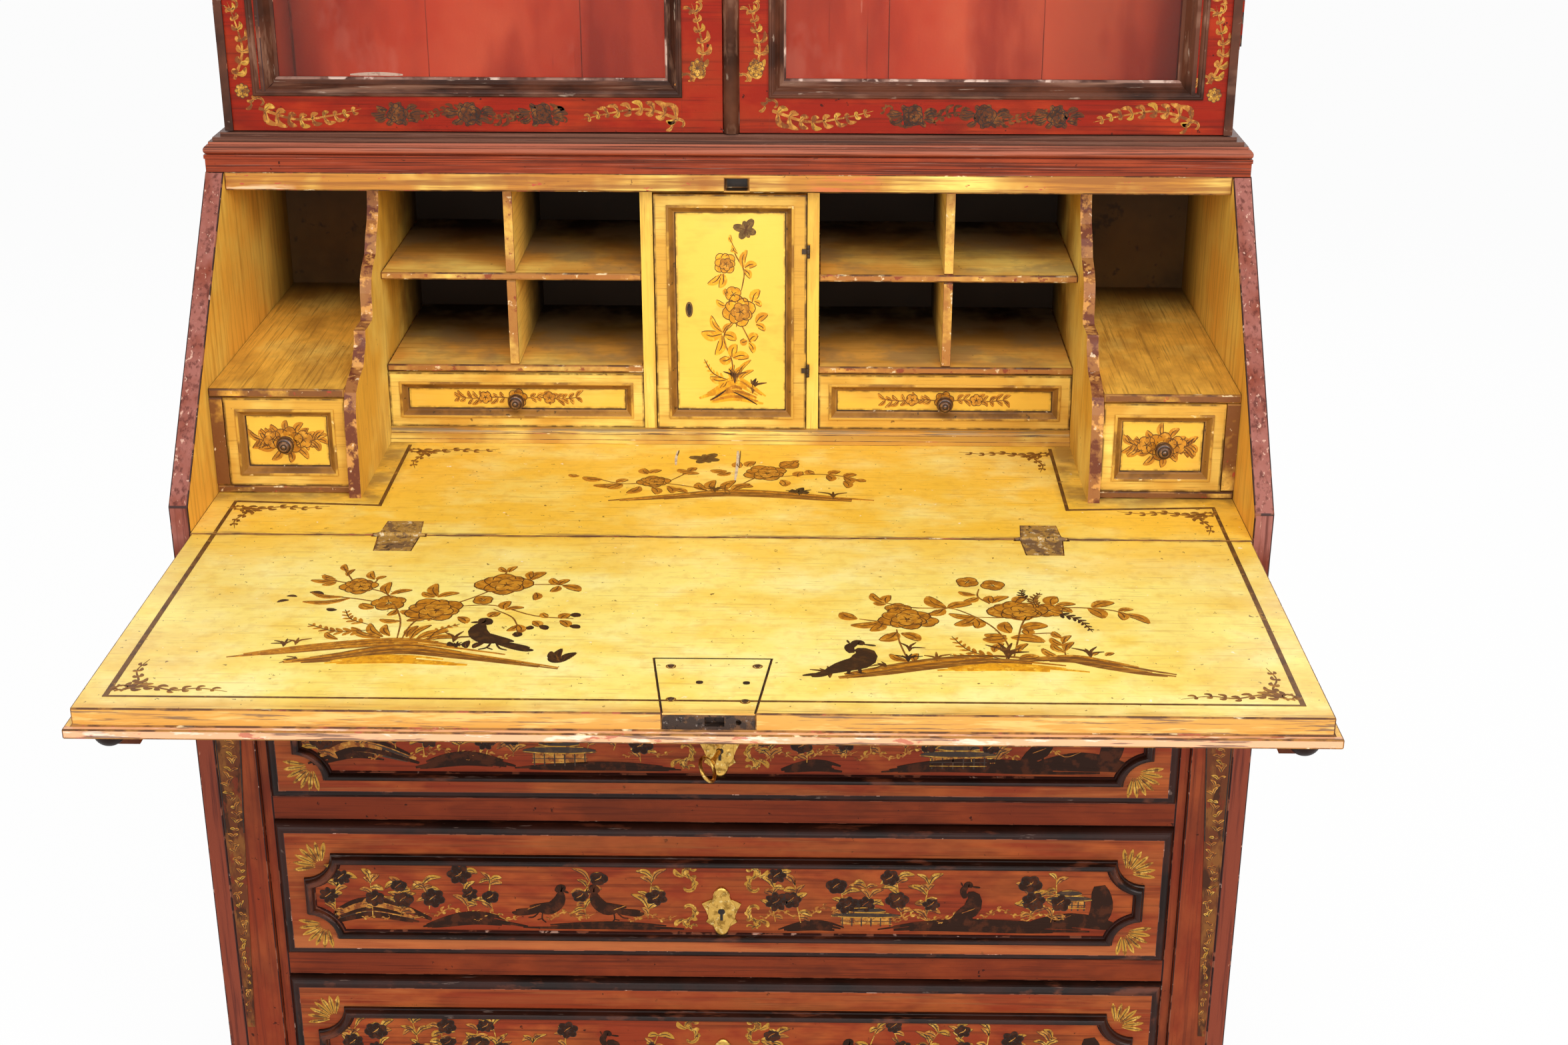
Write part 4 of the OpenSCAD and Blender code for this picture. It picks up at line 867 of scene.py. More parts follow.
# Fall, left of the lock: a flowering bush on a bank, with a songbird.
LEFT_SPRAY = (
    bank([(-430, -284), (-390, -273), (-340, -260), (-280, -250), (-230, -259), (-150, -283)], 13, 6,
         ["brown", "wash"], 3)
    + bank([(-392, -297), (-340, -285), (-280, -266), (-220, -277), (-115, -306)], 15, 7,
           ["brown", "brown", "wash"], 4)
    + bank([(-350, -296), (-280, -285), (-200, -296)], 12, 4, ["lemon"], 5)
    + stems([[(-284, -246), (-288, -205), (-300, -170), (-314, -143), (-345, -128)],
             [(-280, -246), (-276, -212), (-262, -182)], [(-262, -180), (-234, -158), (-205, -126)],
             [(-240, -172), (-205, -170), (-165, -192), (-128, -198)],
             [(-205, -178), (-186, -195), (-178, -214)], [(-300, -172), (-335, -158), (-372, -150)],
             [(-350, -122), (-378, -112)], [(-345, -126), (-356, -104), (-364, -88)],
             [(-190, -122), (-150, -121), (-134, -128)], [(-330, -130), (-326, -108)],
             [(-206, -108), (-204, -88)]])
    + rose(-342, -128, 19, 10) + rose(-261, -180, 29, 30, flat=0.9) + rose(-203, -121, 29, 5, flat=0.85)
    + bloom(-306, -166, 17, 5, 250) + bloom(-218, -158, 10, 4, 40)
    + leaves([(-311, -146, -313, -118, 10), (-308, -147, -289, -136, 8), (-263, -150, -268, -121, 11),
              (-262, -152, -243, -142, 9), (-265, -152, -278, -141, 8), (-366, -114, -391, -115, 8),
              (-368, -112, -382, -102, 8), (-366, -118, -378, -126, 7), (-330, -112, -336, -92, 8),
              (-328, -112, -320, -104, 6), (-180, -112, -166, -92, 13), (-178, -108, -180, -90, 8),
              (-150, -121, -158, -106, 9), (-150, -121, -141, -109, 9), (-146, -123, -128, -136, 12),
              (-150, -124, -156, -138, 9), (-170, -140, -169, -157, 9), (-345, -156, -388, -165, 8),
              (-352, -153, -384, -144, 7), (-360, -92, -366, -76, 7), (-358, -104, -354, -88, 6),
              (-204, -92, -212, -80, 7), (-202, -92, -196, -78, 7), (-196, -178, -192, -160, 11),
              (-194, -180, -177, -174, 7), (-207, -196, -198, -186, 11), (-236, -196, -226, -210, 10),
              (-262, -205, -254, -190, 8), (-178, -212, -186, -226, 8), (-178, -212, -174, -230, 9),
              (-152, -196, -158, -186, 8), (-140, -198, -132, -188, 11), (-140, -202, -131, -216, 10),
              (-165, -204, -158, -216, 10), (-288, -206, -308, -203, 8), (-282, -206, -266, -202, 9),
              (-300, -242, -330, -222, 9), (-298, -240, -315, -212, 9), (-292, -238, -300, -214, 8),
              (-276, -240, -270, -216, 8), (-266, -244, -240, -226, 11), (-260, -246, -228, -240, 9),
              (-272, -244, -258, -214, 8), (-318, -178, -332, -168, 12), (-296, -180, -302, -194, 8),
              (-270, -186, -292, -184, 12), (-338, -246, -352, -232, 7)])
    + fern(-312, -226, -372, -214, 7, 11) + fern(-316, -214, -344, -182, 5, 9)
    + fern(-256, -246, -232, -212, 6, 8) + tuft(-384, -262, 16, 5, "pen", -20, 1)
    + tuft(-374, -258, 18, 3, "brown", 0, 2) + tuft(-228, -262, 14, 6, "dark", 10, 3)
    + tuft(-366, -292, 14, 4, "pen", -60, 4) + tuft(-232, -250, 24, 3, "pen", 15, 5)
    + leaves([(-212, -262, -204, -250, 7), (-226, -262, -236, -250, 7), (-218, -262, -218, -247, 7),
              (-352, -182, -362, -180, 6), (-386, -143, -372, -147, 6), (-130, -290, -132, -262, 8),
              (-130, -288, -141, -268, 8), (-128, -288, -118, -270, 9), (-128, -288, -142, -282, 7),
              (-132, -190, -122, -192, 9), (-130, -214, -120, -218, 8), (-158, -214, -150, -222, 8),
              (-166, -214, -168, -222, 7), (-178, -228, -176, -238, 9), (-406, -152, -396, -153, 4),
              (-412, -166, -402, -161, 5)], fill="dark")
    + bird(SONGBIRD, -191, -264))

# Fall, right of the lock: a second bush with a waterbird at its foot.
RIGHT_SPRAY = (
    bank([(104, -318), (150, -304), (205, -286), (265, -277), (330, -290)], 17, 8,
         ["brown", "brown", "wash"], 6)
    + bank([(255, -284), (320, -274), (350, -283), (390, -299), (436, -312)], 14, 6,
           ["brown", "brown", "wash"], 7)
    + bank([(200, -300), (270, -292), (360, -305)], 10, 4, ["lemon"], 8)
    + stems([[(268, -276), (272, -248), (264, -216), (250, -192), (232, -173), (222, -168)],
             [(222, -168), (204, -180), (184, -192)], [(275, -274), (282, -236), (288, -205), (296, -182)],
             [(262, -158), (252, -142), (254, -124)],
             [(300, -180), (332, -166), (362, -167), (382, -174), (402, -192)],
             [(172, -216), (174, -244), (180, -280)], [(222, -168), (190, -168), (164, -158)],
             [(160, -200), (138, -194)], [(322, -272), (322, -230)], [(300, -178), (276, -188), (248, -188)],
             [(285, -226), (304, -222), (320, -221)]])
    + rose(180, -192, 26, 20, flat=0.95) + rose(287, -173, 30, 12, flat=0.72)
    + bloom(244, -108, 11, 4, 60, flat=1.1) + bloom(268, -115, 12, 4, 20) + bloom(175, -171, 13, 5, 90)
    + bloom(200, -198, 12, 4, 10) + bloom(316, -172, 15, 5, 30)
    + leaves([(136, -194, 121, -180, 14), (158, -200, 130, -208, 12), (160, -201, 148, -220, 12),
              (172, -222, 156, -240, 15), (176, -224, 192, -240, 13), (162, -158, 151, -136, 9),
              (164, -158, 168, -140, 10), (164, -160, 152, -158, 7), (220, -168, 204, -142, 15),
              (222, -168, 245, -158, 13), (218, -170, 204, -184, 12), (250, -138, 234, -131, 8),
              (252, -144, 238, -153, 9), (263, -156, 264, -140, 10), (264, -156, 281, -141, 10),
              (286, -156, 298, -141, 12), (248, -188, 222, -181, 10), (246, -190, 226, -206, 14),
              (247, -192, 246, -212, 12), (276, -222, 274, -198, 14), (288, -212, 312, -206, 16),
              (290, -212, 292, -226, 12), (272, -232, 250, -236, 14), (276, -232, 306, -240, 16),
              (272, -228, 252, -226, 12), (320, -160, 326, -140, 15), (324, -162, 343, -157, 9),
              (354, -166, 366, -188, 15), (358, -164, 380, -153, 14), (382, -174, 384, -192, 10),
              (382, -172, 396, -168, 8), (386, -178, 407, -199, 11), (322, -166, 338, -176, 10),
              (180, -282, 164, -268, 8), (186, -282, 189, -266, 8), (322, -262, 312, -244, 8),
              (323, -258, 332, -240, 8), (322, -248, 312, -232, 8), (323, -242, 331, -226, 7),
              (322, -232, 316, -218, 8), (316, -272, 302, -254, 8), (280, -276, 298, -270, 10),
              (344, -268, 352, -262, 6), (358, -268, 366, -262, 6), (258, -262, 268, -244, 8),
              (280, -262, 290, -244, 7)])
    + fern(264, -276, 222, -230, 7, 10) + fern(262, -279, 218, -270, 6, 8, bow=-0.1)
    + fern(300, -150, 296, -124, 4, 7, "dark") + fern(306, -166, 312, -132, 6, 8, "brown")
    + fern(320, -176, 352, -218, 7, 8, "dark") + tuft(180, -284, 18, 6, "dark", 5, 9)
    + tuft(344, -272, 24, 4, "pen", 5, 10) + tuft(206, -282, 22, 3, "brown", 0, 11)
    + tuft(160, -296, 16, 5, "pen", -60, 12) + tuft(270, -276, 34, 5, "pen", 10, 13)
    + tuft(110, -316, 24, 5, "pen", -5, 14) + tuft(182, -262, 20, 3, "pen", 20, 15)
    + bird(WATERBIRD, 132, -306))

# Bed, in front of the plinth: a low spray on a mound, a moth and two old drips.
BED_SPRAY = (
    bank([(-122, 96), (-60, 108), (0, 121), (60, 117), (120, 106), (182, 98)], 15, 7,
         ["brown", "brown", "wash"], 15)
    + stems([[(-10, 122), (-40, 140), (-78, 150), (-112, 146), (-142, 162)],
             [(4, 122), (20, 150), (40, 176), (66, 206)], [(52, 168), (96, 178), (128, 172), (146, 160)],
             [(-60, 156), (-46, 176), (-40, 188)]])
    + rose(-78, 153, 19, 10, flat=0.9) + rose(42, 181, 25, 25, flat=0.95) + bloom(68, 206, 12, 4, 40)
    + leaves([(-112, 146, -126, 132, 12), (-112, 146, -142, 140, 11), (-118, 150, -106, 158, 10),
              (-134, 158, -156, 164, 12), (-40, 182, -54, 190, 10), (-40, 184, -34, 196, 10),
              (-48, 176, -30, 178, 9), (-86, 176, -92, 192, 11), (-84, 178, -72, 188, 10),
              (-92, 138, -104, 118, 12), (-78, 136, -72, 116, 11), (-62, 140, -56, 120, 10),
              (-58, 132, -40, 122, 10), (-20, 128, -30, 150, 11), (-14, 128, -12, 158, 12),
              (0, 128, 10, 158, 12), (8, 128, 26, 148, 12), (14, 140, 30, 140, 10), (60, 160, 64, 142, 12),
              (78, 170, 82, 186, 12), (96, 178, 88, 190, 10), (110, 176, 114, 158, 11),
              (112, 178, 124, 188, 11), (128, 172, 142, 178, 11), (128, 170, 136, 152, 11),
              (140, 160, 152, 158, 9), (128, 158, 132, 138, 10), (14, 196, 12, 214, 12),
              (22, 200, 30, 216, 12), (0, 186, -18, 188, 11), (4, 182, -10, 174, 10), (72, 210, 78, 220, 8),
              (-160, 168, -172, 172, 8)])
    + tuft(80, 116, 22, 5, "dark", -5, 16) + tuft(116, 108, 24, 3, "pen", 0, 17)
    + tuft(-10, 122, 22, 6, "pen", 0, 18)
    + leaves([(78, 118, 72, 132, 9), (82, 118, 90, 126, 9), (80, 120, 84, 138, 8), (6, 116, 0, 130, 9)],
             fill="dark")
    + moth(-25, 224, 19)
    + [stroke([(-57, 249), (-58, 226), (-57, 204)], 2.6, "pale", 1, 0.3),
       stroke([(10, 249), (11, 215), (10, 158)], 3.2, "pale", 1, 0.3),
       stroke([(-56, 249), (-57, 232)], 1.2, "moth", 2, 0.3),
       stroke([(13, 249), (13, 200)], 1.2, "moth", 2, 0.3)])


def frond(points, count, size, fill, pen, curl, seed):
    """Acanthus run: a stem that thins to its tip, with comma-shaped leaves that bend back on both
    sides, larger on the side curl, and a small scroll at its root."""
    g = np.random.default_rng(seed)
    line = curve(points, 4 * count)
    left = sideways(line)
    ahead = np.stack([left[:, 1], -left[:, 0]], 1)
    t = np.linspace(0, 1, len(line))
    marks = [(line, 0.15 + 0.09 * size * (1 - t) ** 0.7, 1, fill)]
    for k in range(1, len(line) - 1, 2):
        for side in (-1, 1):
            long = size * (1.0 - 0.55 * t[k]) * (1.0 if side == curl else 0.6) * g.uniform(0.6, 1.2)
            tone = "gold" if fill == "leafgold" and g.uniform() < 0.4 else fill
            tip = line[k] + long * (0.55 * side * left[k] + 0.85 * ahead[k])
            mid = line[k] + long * (0.5 * side * left[k] + 0.25 * ahead[k])
            marks.append(stroke([line[k], mid, tip], 0.36 * size * (1 - 0.5 * t[k]), tone, 1, 0.75, 8))
            if pen != fill:
                marks.append(stroke([line[k], mid], 0.4, pen, 2, 0.3, 4))
    return marks + volute(*(line[0] + size * 0.3 * left[0]), size * 0.8, 200, curl, fill, pen, 3)


def corner_scroll(x, z, flip, up):
    """Leafy fronds that run from a corner of the border both ways."""
    marks = (frond([(8, 10), (28, 15), (50, 8), (72, 12), (98, 6)], 4, 14, "brown", "brown", 1, 4)
             + frond([(10, 10), (15, 26), (8, 46), (13, 68)], 3, 14, "brown", "brown", -1, 5))
    out = []
    for p, half, layer, paint in moved(marks, flip=flip):
        out.append((np.stack([p[:, 0] + x, p[:, 1] * up + z], 1), half, layer, paint))
    return [(q[::-1], h[::-1], layer, paint) for q, h, layer, paint in out] if up < 0 else out


BORDER_X, BORDER_Y = 515.0, -362.0  # ruled border: its sides from the middle plane, its front line
fall_marks = LEFT_SPRAY + RIGHT_SPRAY
for s in (-1, 1):
    fall_marks.append(bar(s * BORDER_X, BORDER_Y - 1.2, s * BORDER_X, -1.2, 4.8, "line"))
fall_marks.append(bar(-BORDER_X - 2.4, BORDER_Y, BORDER_X + 2.4, BORDER_Y, 2.6, "line", 2))
for s in (-1, 1):
    fall_marks += corner_scroll(s * (BORDER_X - 5), BORDER_Y + 4, -s, 1)
# The plate over the lock shows as a thin crack round its edge, with four screws and two holes; the crack, the
# screws' slots and the holes are painted black as their shade.
COVER = [(-47, -280), (58, -280), (46, -385), (-33, -385)]
for a, b in zip(COVER, COVER[1:] + COVER[:1]):
    if a[1] > -384 or b[1] > -384:
        fall_marks.append(bar(*a, *b, 1.3, "black", 3))
for x, y in ((-31, -296), (46, -295), (-27, -360), (37, -363)):
    fall_marks += [stroke([(x - 4.5, y), (x, y), (x + 4.5, y)], 8.0, "brown", 2, 0.5),
                   stroke([(x - 3, y), (x, y), (x + 3, y)], 6.4, "screw", 8, 0.5),
                   bar(x - 2.4, y - 1.4, x + 2.4, y + 1.4, 1.0, "black", 9)]
for x, y in ((-4, -327), (37, -327.5)):
    fall_marks.append(stroke([(x - 3, y), (x, y), (x + 3, y)], 5.6, "black", 3, 0.3))
paint_on("fall_ornament", "fall", fall_marks, "bed", 0.0)

bed_marks = list(BED_SPRAY)
for s in (-1, 1):
    bed_marks += [bar(s * BORDER_X, 1.2, s * BORDER_X, 90, 3.8, "line"),
                  bar(s * (BORDER_X + 1.9), 88, s * 359, 79, 3.8, "line", 2),
                  bar(s * 361, 77, s * 361, 262, 3.8, "line")]
    bed_marks += corner_scroll(s * (BORDER_X - 4), 82, -s, -1)
    bed_marks += corner_scroll(s * 356, 256, -s, -1)
paint_on("bed_ornament", "case", bed_marks, "bed", 0.0)

# Cupboard door: a climbing rose on a mound, with a moth above it.
door_marks = (
    bank([(-34, 52), (-12, 60), (6, 70), (26, 60), (50, 46)], 13, 6, ["lemon", "wash", "lemon"], 20)
    + bank([(-24, 48), (6, 56), (44, 46)], 9, 4, ["lemon", "wash"], 21)
    + stems([[(3, 68), (3, 96), (-6, 124), (6, 146)], [(8, 136), (12, 156)],
             [(14, 178), (17, 200), (8, 218), (4, 232)], [(24, 118), (14, 138)]], 1.3)
    + rose(11, 155, 19, 15, "lemon") + rose(-4, 209, 13, 40, "lemon") + bloom(5, 174, 9, 4, 30, "lemon")
    + leaves([(4, 232, 2, 241, 4), (6, 226, 3, 222, 4), (10, 220, 4, 230, 4), (16, 204, 20, 224, 7),
              (18, 204, 31, 208, 8), (17, 202, 24, 192, 7), (-8, 197, -23, 185, 8), (-6, 197, -10, 181, 8),
              (26, 165, 34, 179, 10), (28, 166, 36, 160, 6), (-3, 160, -14, 167, 6), (-2, 172, -4, 180, 5),
              (30, 141, 43, 151, 9), (30, 139, 40, 132, 7), (-8, 128, -31, 129, 12), (-8, 130, -20, 149, 7),
              (-8, 126, -15, 103, 10), (-6, 127, 8, 121, 10), (-7, 129, 4, 140, 6), (22, 119, 32, 127, 10),
              (20, 120, 12, 119, 8), (22, 118, 27, 106, 7), (3, 101, 8, 116, 10), (2, 100, -11, 97, 10),
              (4, 100, 22, 101, 10), (-4, 74, -22, 77, 8), (-3, 72, -10, 64, 6), (6, 72, 14, 90, 7),
              (8, 72, 24, 98, 5), (9, 71, 27, 86, 5), (3, 74, 5, 92, 6)], fill="lemon")
    + fern(-2, 74, -28, 98, 6, 6, "lemon") + tuft(26, 58, 22, 4, "pen", 8, 22)
    + tuft(6, 70, 20, 5, "pen", 0, 23)
    + [stroke([(-4, 62), (-12, 56), (-21, 50)], 1.8, "dark", 4),
       stroke([(4, 60), (16, 54), (31, 45)], 1.6, "dark", 4)]
    + leaves([(26, 60, 30, 76, 4)], fill="dark") + moth(19, 247, 14))
PANEL_FRONT = 279.0  # face of the door's sunk panel
paint_on("cupboard_door_ornament", "cupboard_door", door_marks, "front", PANEL_FRONT)


def garland(wide, tall, seed):
    """Flower behind the knob and two leafy sprigs that leave it to left and right; where the
    panel is square the leaves spread all round."""
    g = np.random.default_rng(seed)
    marks = bloom(0, 0, tall * 0.95, 6, 15, "wash", layer=3)
    if wide < 40:
        for k, a in enumerate(np.radians(np.arange(20, 380, 36))):
            u = np.array([1.25 * np.cos(a), np.sin(a)])
            marks += leaf(*(u * tall * 0.6), *(u * tall * g.uniform(1.2, 1.6)), tall * 0.42,
                          "wash" if k % 2 else "amber")
    for s in (-1, 1):
        line = curve([(s * 8, 0), (s * wide * 0.4, tall * 0.12), (s * wide * 0.7, -tall * 0.05),
                      (s * wide, tall * 0.1)], 9)
        marks.append(stroke(line[::2], 1.2, "brown", 1, 0.25, 12))
        for k in range(1, 9):
            for side in (-1, 1):
                tip = line[k] + (s * g.uniform(0.35, 0.8) * tall, side * g.uniform(0.3, 0.75) * tall)
                marks += leaf(*line[k], *tip, tall * 0.34, "wash" if (k + side) % 3 else "amber")
        marks += bloom(*(line[4] + (0, tall * 0.05)), tall * 0.6, 5, 20 * s, "amber", layer=3)
    return marks


for k, name in enumerate(SMALL_DRAWERS):
    x0, x1, z0, z1, y = FRONTS[name][:5]
    wide, tall = (66, 12) if "block" in name else (30, 17)
    sprigs = moved(garland(wide, tall, 30 + k), (x0 + x1) / 2, (z0 + z1) / 2)
    paint_on(name + "_ornament", name, sprigs, "front", y + 6)


# ---------------------------------------------------------------- upper doors: gold scrolls and dark flowers

def scroll_run(x0, z0, x1, z1, count, size, fill, pen, parts=4):
    """Fronds in a row between two points, each an S that bends to the other side of the line."""
    a, b = np.array([x0, z0], float), np.array([x1, z1], float)
    step = (b - a) / count
    side = np.array([-step[1], step[0]]) / np.linalg.norm(step)
    marks = []
    for k in range(count):
        p, way = a + step * k, 1 if k % 2 else -1
        marks += frond([p - side * way * size * 0.3, p + step * 0.35 + side * way * size * 0.35,
                        p + step * 0.7 + side * way * size * 0.1, p + step * 0.98 - side * way * size * 0.3],
                       parts, size, fill, pen, way, int(z0) + k)
    return marks


def flower_run(x0, x1, z, count, size, seed):
    """Dark flowers and leaves in a row."""
    g = np.random.default_rng(seed)
    marks = []
    for x in np.linspace(x0, x1, count):
        marks += rose(x, z + g.uniform(-1, 1), size * g.uniform(0.85, 1.0), g.uniform(0, 60), "flora",
                      "black")
        for k in range(10):
            a = 0.63 * k + g.uniform(-0.2, 0.2)
            marks += leaf(x + size * math.cos(a), z + 0.5 * size * math.sin(a), x + 2.1 * size * math.cos(a),
                          z + 0.95 * size * math.sin(a), size * 0.42, "flora", "black")
    return marks


DOOR_Y, DOOR_EDGE = 271.0, 532.0  # front face of the doors; no mark reaches past this distance
UP_Z, UP_TOP = 353.6, 1364.6  # foot and top of the cabinet above the waist moulding
GAP, RAIL = 1.5, 38.0  # play round each door and the width of its frame
for side, outer, inner in (("left", -518.0, -31.0), ("right", 516.0, 29.0)):
    s = 1 if outer > 0 else -1
    marks = []
    for x in (outer, inner):
        marks += scroll_run(x, UP_Z + 56, x, UP_TOP - 46, 11, 17, "leafgold", "pen")
    for z in (UP_Z + 20, UP_TOP - 20):
        for x0, x1 in ((48, 158), (500, 388)):
            marks += scroll_run(s * x0, z, s * x1, z, 1, 18, "leafgold", "pen", 5)
        marks += scroll_run(s * 172, z, s * 378, z, 4, 12, "flora", "flora")
        marks += flower_run(s * 198, s * 352, z, 3, 13.5, 40 + int(z) % 7)
    marks += bloom(s * 31, UP_Z + 70, 9, 8, 0, "gold", "pen", 3)
    marks += bloom(s * 516, UP_Z + 44, 8, 8, 0, "gold", "pen", 3)
    marks = [m for m in marks if np.abs(m[0][:, 0]).max() < DOOR_EDGE]
    paint_on(side + "_door_ornament", side + "_upper_door", marks, "front", DOOR_Y)

# Pale rubbed line and small step where each glazing moulding meets the glass, and the fillet
# at its outer edge.
GLAZING = [(-0.6, -0.5), (-0.6, 2.4), (0.6, 3.2), (2.2, 3.2), (2.8, 2.2), (3.6, 2.0), (4.6, 1.6), (6.4, 0.2),
           (8.2, -2.2), (9.4, -4.4), (11.0, -6.0), (12.6, -7.2), (14.2, -8.6), (15.4, -9.2), (16.6, -9.8),
           (17.8, -11.2), (17.8, -12.9), (0, -12.9)]
for side, x0, x1 in (("left", -504.0, -48.0), ("right", 45.0, 504.0)):
    z0, z1 = UP_Z + GAP + RAIL, UP_TOP - GAP - RAIL
    v, f, ring = frame_moulding((x0 + x1) / 2, (z0 + z1) / 2, (x1 - x0) / 2, (z1 - z0) / 2, 0, DOOR_Y,
                                GLAZING)
    make_piece(side + "_door_glazing_bead", v, f, [BROWN, WORN_LINE], side + "_upper_door",
               np.where((ring >= 13) & (ring <= 14), 1, 0))

# Seams of the planks behind the glass, the two in the back corners broad lines of painted shadow, with chalky
# streaks beside them and a pale scuff at the foot.
PLANK_Y = 513.0  # face of the planks
g = np.random.default_rng(50)
seams = []
for x, wide in ((-516.5, 3.0), (516.5, 3.0), (-358.7, 0.8), (-179.3, 1.0), (0.0, 0.8), (179.3, 1.0),
                (358.7, 0.8)):
    seams.append(bar(x, UP_Z + 14, x, UP_TOP - 21, wide, "seam"))
for k in range(14):
    x, z = g.uniform(-500, 500), g.uniform(UP_Z + 30, UP_TOP - 60)
    seams.append(stroke([(x, z), (x + g.uniform(-3, 3), z + g.uniform(20, 90))], g.uniform(1.5, 5), "chalk",
                        1, 0.5, 6))
seams.append(stroke([(-452, UP_Z + 16), (-420, UP_Z + 17), (-390, UP_Z + 16)], 4.0, "pale", 2, 0.4, 8))
paint_on("plank_seams", "case", seams, "front", PLANK_Y)


# ---------------------------------------------------------------- long drawers: gold and black scenes

def red_sprig(x, z, h, seed):
    """Upright sprig of gold leaves with one or two black flowers."""
    g = np.random.default_rng(seed)
    top = (x + g.uniform(-8, 8), z + h)
    line = curve([(x, z), (x + g.uniform(-6, 6), z + 0.5 * h), top], 9)
    marks = [stroke(line[::2], 1.2, "gold", 2, 0.3, 10)]
    for k in range(1, 9):
        for s in (-1, 1):
            if g.uniform() < 0.62:
                u = np.array([s * g.uniform(0.5, 1.0), g.uniform(-0.4, 0.9)]) * g.uniform(12, 22)
                marks += leaf(*line[k], *(line[k] + u), g.uniform(4.5, 7.5), "leafgold" if k % 2 else "gold",
                              "black", 0.18 * s, 2)
    for k in (4, 8)[:1 + seed % 2]:
        x, z = line[k] + (g.uniform(-8, 8), g.uniform(-5, 2))
        marks += bloom(x, z, g.uniform(9, 13.5), int(g.integers(5, 8)), g.uniform(0, 60), "soot", "black", 4,
                       g.uniform(0.6, 0.9), g.uniform(0.75, 1))
        marks.append(stroke([(x - 4, z - 2), (x + g.uniform(-2, 2), z + 1), (x + 3, z + 4)], 0.8, "leafgold",
                            7, 0.4, 5))
    return marks


def drawer_scene(zc, seed, houses, birds):
    """Shore with banks at both ends, pavilions, birds and sprigs, and scrolls by the keyhole."""
    g = np.random.default_rng(seed)
    lo = zc - 39  # waterline of the shore
    marks = bank([(-440, lo + 6), (-385, lo + 26), (-310, lo + 5)], 22, 8, ["soot", "soot", "dark"], seed)
    marks += bank([(-430, lo + 14), (-385, lo + 30), (-320, lo + 10)], 12, 3, ["leafgold"], seed + 5)
    marks += bank([(-330, lo + 2), (-272, lo + 14), (-210, lo + 3)], 13, 6, ["soot"], seed + 1)
    marks += bank([(-220, lo + 3), (-120, lo + 6), (-30, lo + 2)], 7, 4, ["soot"], seed + 2)
    marks += bank([(60, lo + 2), (100, lo + 9), (140, lo + 2)], 10, 5, ["soot"], seed + 3)
    marks += bank([(160, lo + 2), (240, lo + 10), (340, lo + 8), (430, lo + 4)], 13, 6, ["soot"], seed + 4)
    for x, up, w, h in houses:
        marks += pavilion(x, lo + up, w, h)
    marks += [stroke([(404, lo + 10), (412, lo + 34), (408, lo + 62)], 24, "soot", 2, 0.3),
              stroke([(330, lo + 10), (380, lo + 18), (430, lo + 10)], 18, "soot", 1, 0.4)]
    sprigs = [x for x in range(-420, 376, 34) if abs(x + 2) > 50 and all(abs(x - b[0]) > 26 for b in birds)]
    for k, x in enumerate(sprigs):
        rise = g.uniform(0, 16)
        marks += red_sprig(x + g.uniform(-7, 7), lo + 10 + rise, g.uniform(46, 64) - rise, seed * 31 + k)
    for x, s, kind in birds:
        marks += moved(bird(kind, 0, 0, 0.78, "soot", s), x, lo + 14, (20 if kind is SONGBIRD else 6) * s)
        marks.append(stroke([(x - 8, lo + 26), (x + 6, lo + 32)], 0.7, "leafgold", 5, 0.3, 5))
    for x in (-400, -345, -290, -245, -165, -75, 70, 120, 170, 215, 262, 310, 355):
        h = g.uniform(0, 14)
        marks += frond([(x - 22, lo + 12 + h), (x - 8, lo + 20 + h), (x + 8, lo + 12 + h),
                        (x + 24, lo + 18 + h)], 3, 8, "leafgold", "leafgold", 1, 1000 + seed + int(x))
    for s in (-1, 1):
        x = -2 + s * 38
        for dz, turn, hand, size in ((17, 90 - s * 30, s, 22), (-15, -90 + s * 30, -s, 22),
                                     (35, 90 + s * 60, -s, 11), (-32, 270 - s * 60, s, 11)):
            marks += volute(x, zc + 2 + dz * 0.9, size, turn, hand, "gold", "black", 4)
    return marks


# For each drawer: pavilions as (x, height over the waterline, width, height), and birds as
# (x, way they face, kind).
SCENES = [(((-172, 6, 64, 32), (250, 6, 66, 30)), ((336, 1, WATERBIRD),)),
          (((156, 8, 62, 24), (376, 30, 40, 26)),
           ((-206, -1, SONGBIRD), (-112, 1, SONGBIRD), (268, 1, WATERBIRD))),
          (((-262, 6, 60, 28), (196, 8, 64, 26)), ((-130, 1, WATERBIRD), (110, -1, SONGBIRD)))]
for i, zt in enumerate(TOPS):
    zc = zt - DRAWER_H / 2 - DROP
    name = "drawer_%d" % (i + 1)
    paint_on(name + "_scene", name, drawer_scene(zc, 60 + 7 * i, *SCENES[i]), "front",
             PANEL_Y)
    shells = []
    for sx in (-1, 1):
        for sz in (-1, 1):
            a = math.degrees(math.atan2(-sz, -sx)) + 180
            shells += fan(sx * 437, zc + sz * 37, 31, a - 54, a + 54, 7, "gold", "black")
    paint_on(name + "_shells", name, shells, "front", FIELD_Y)


# ---------------------------------------------------------------- keyhole plates, gilt strips

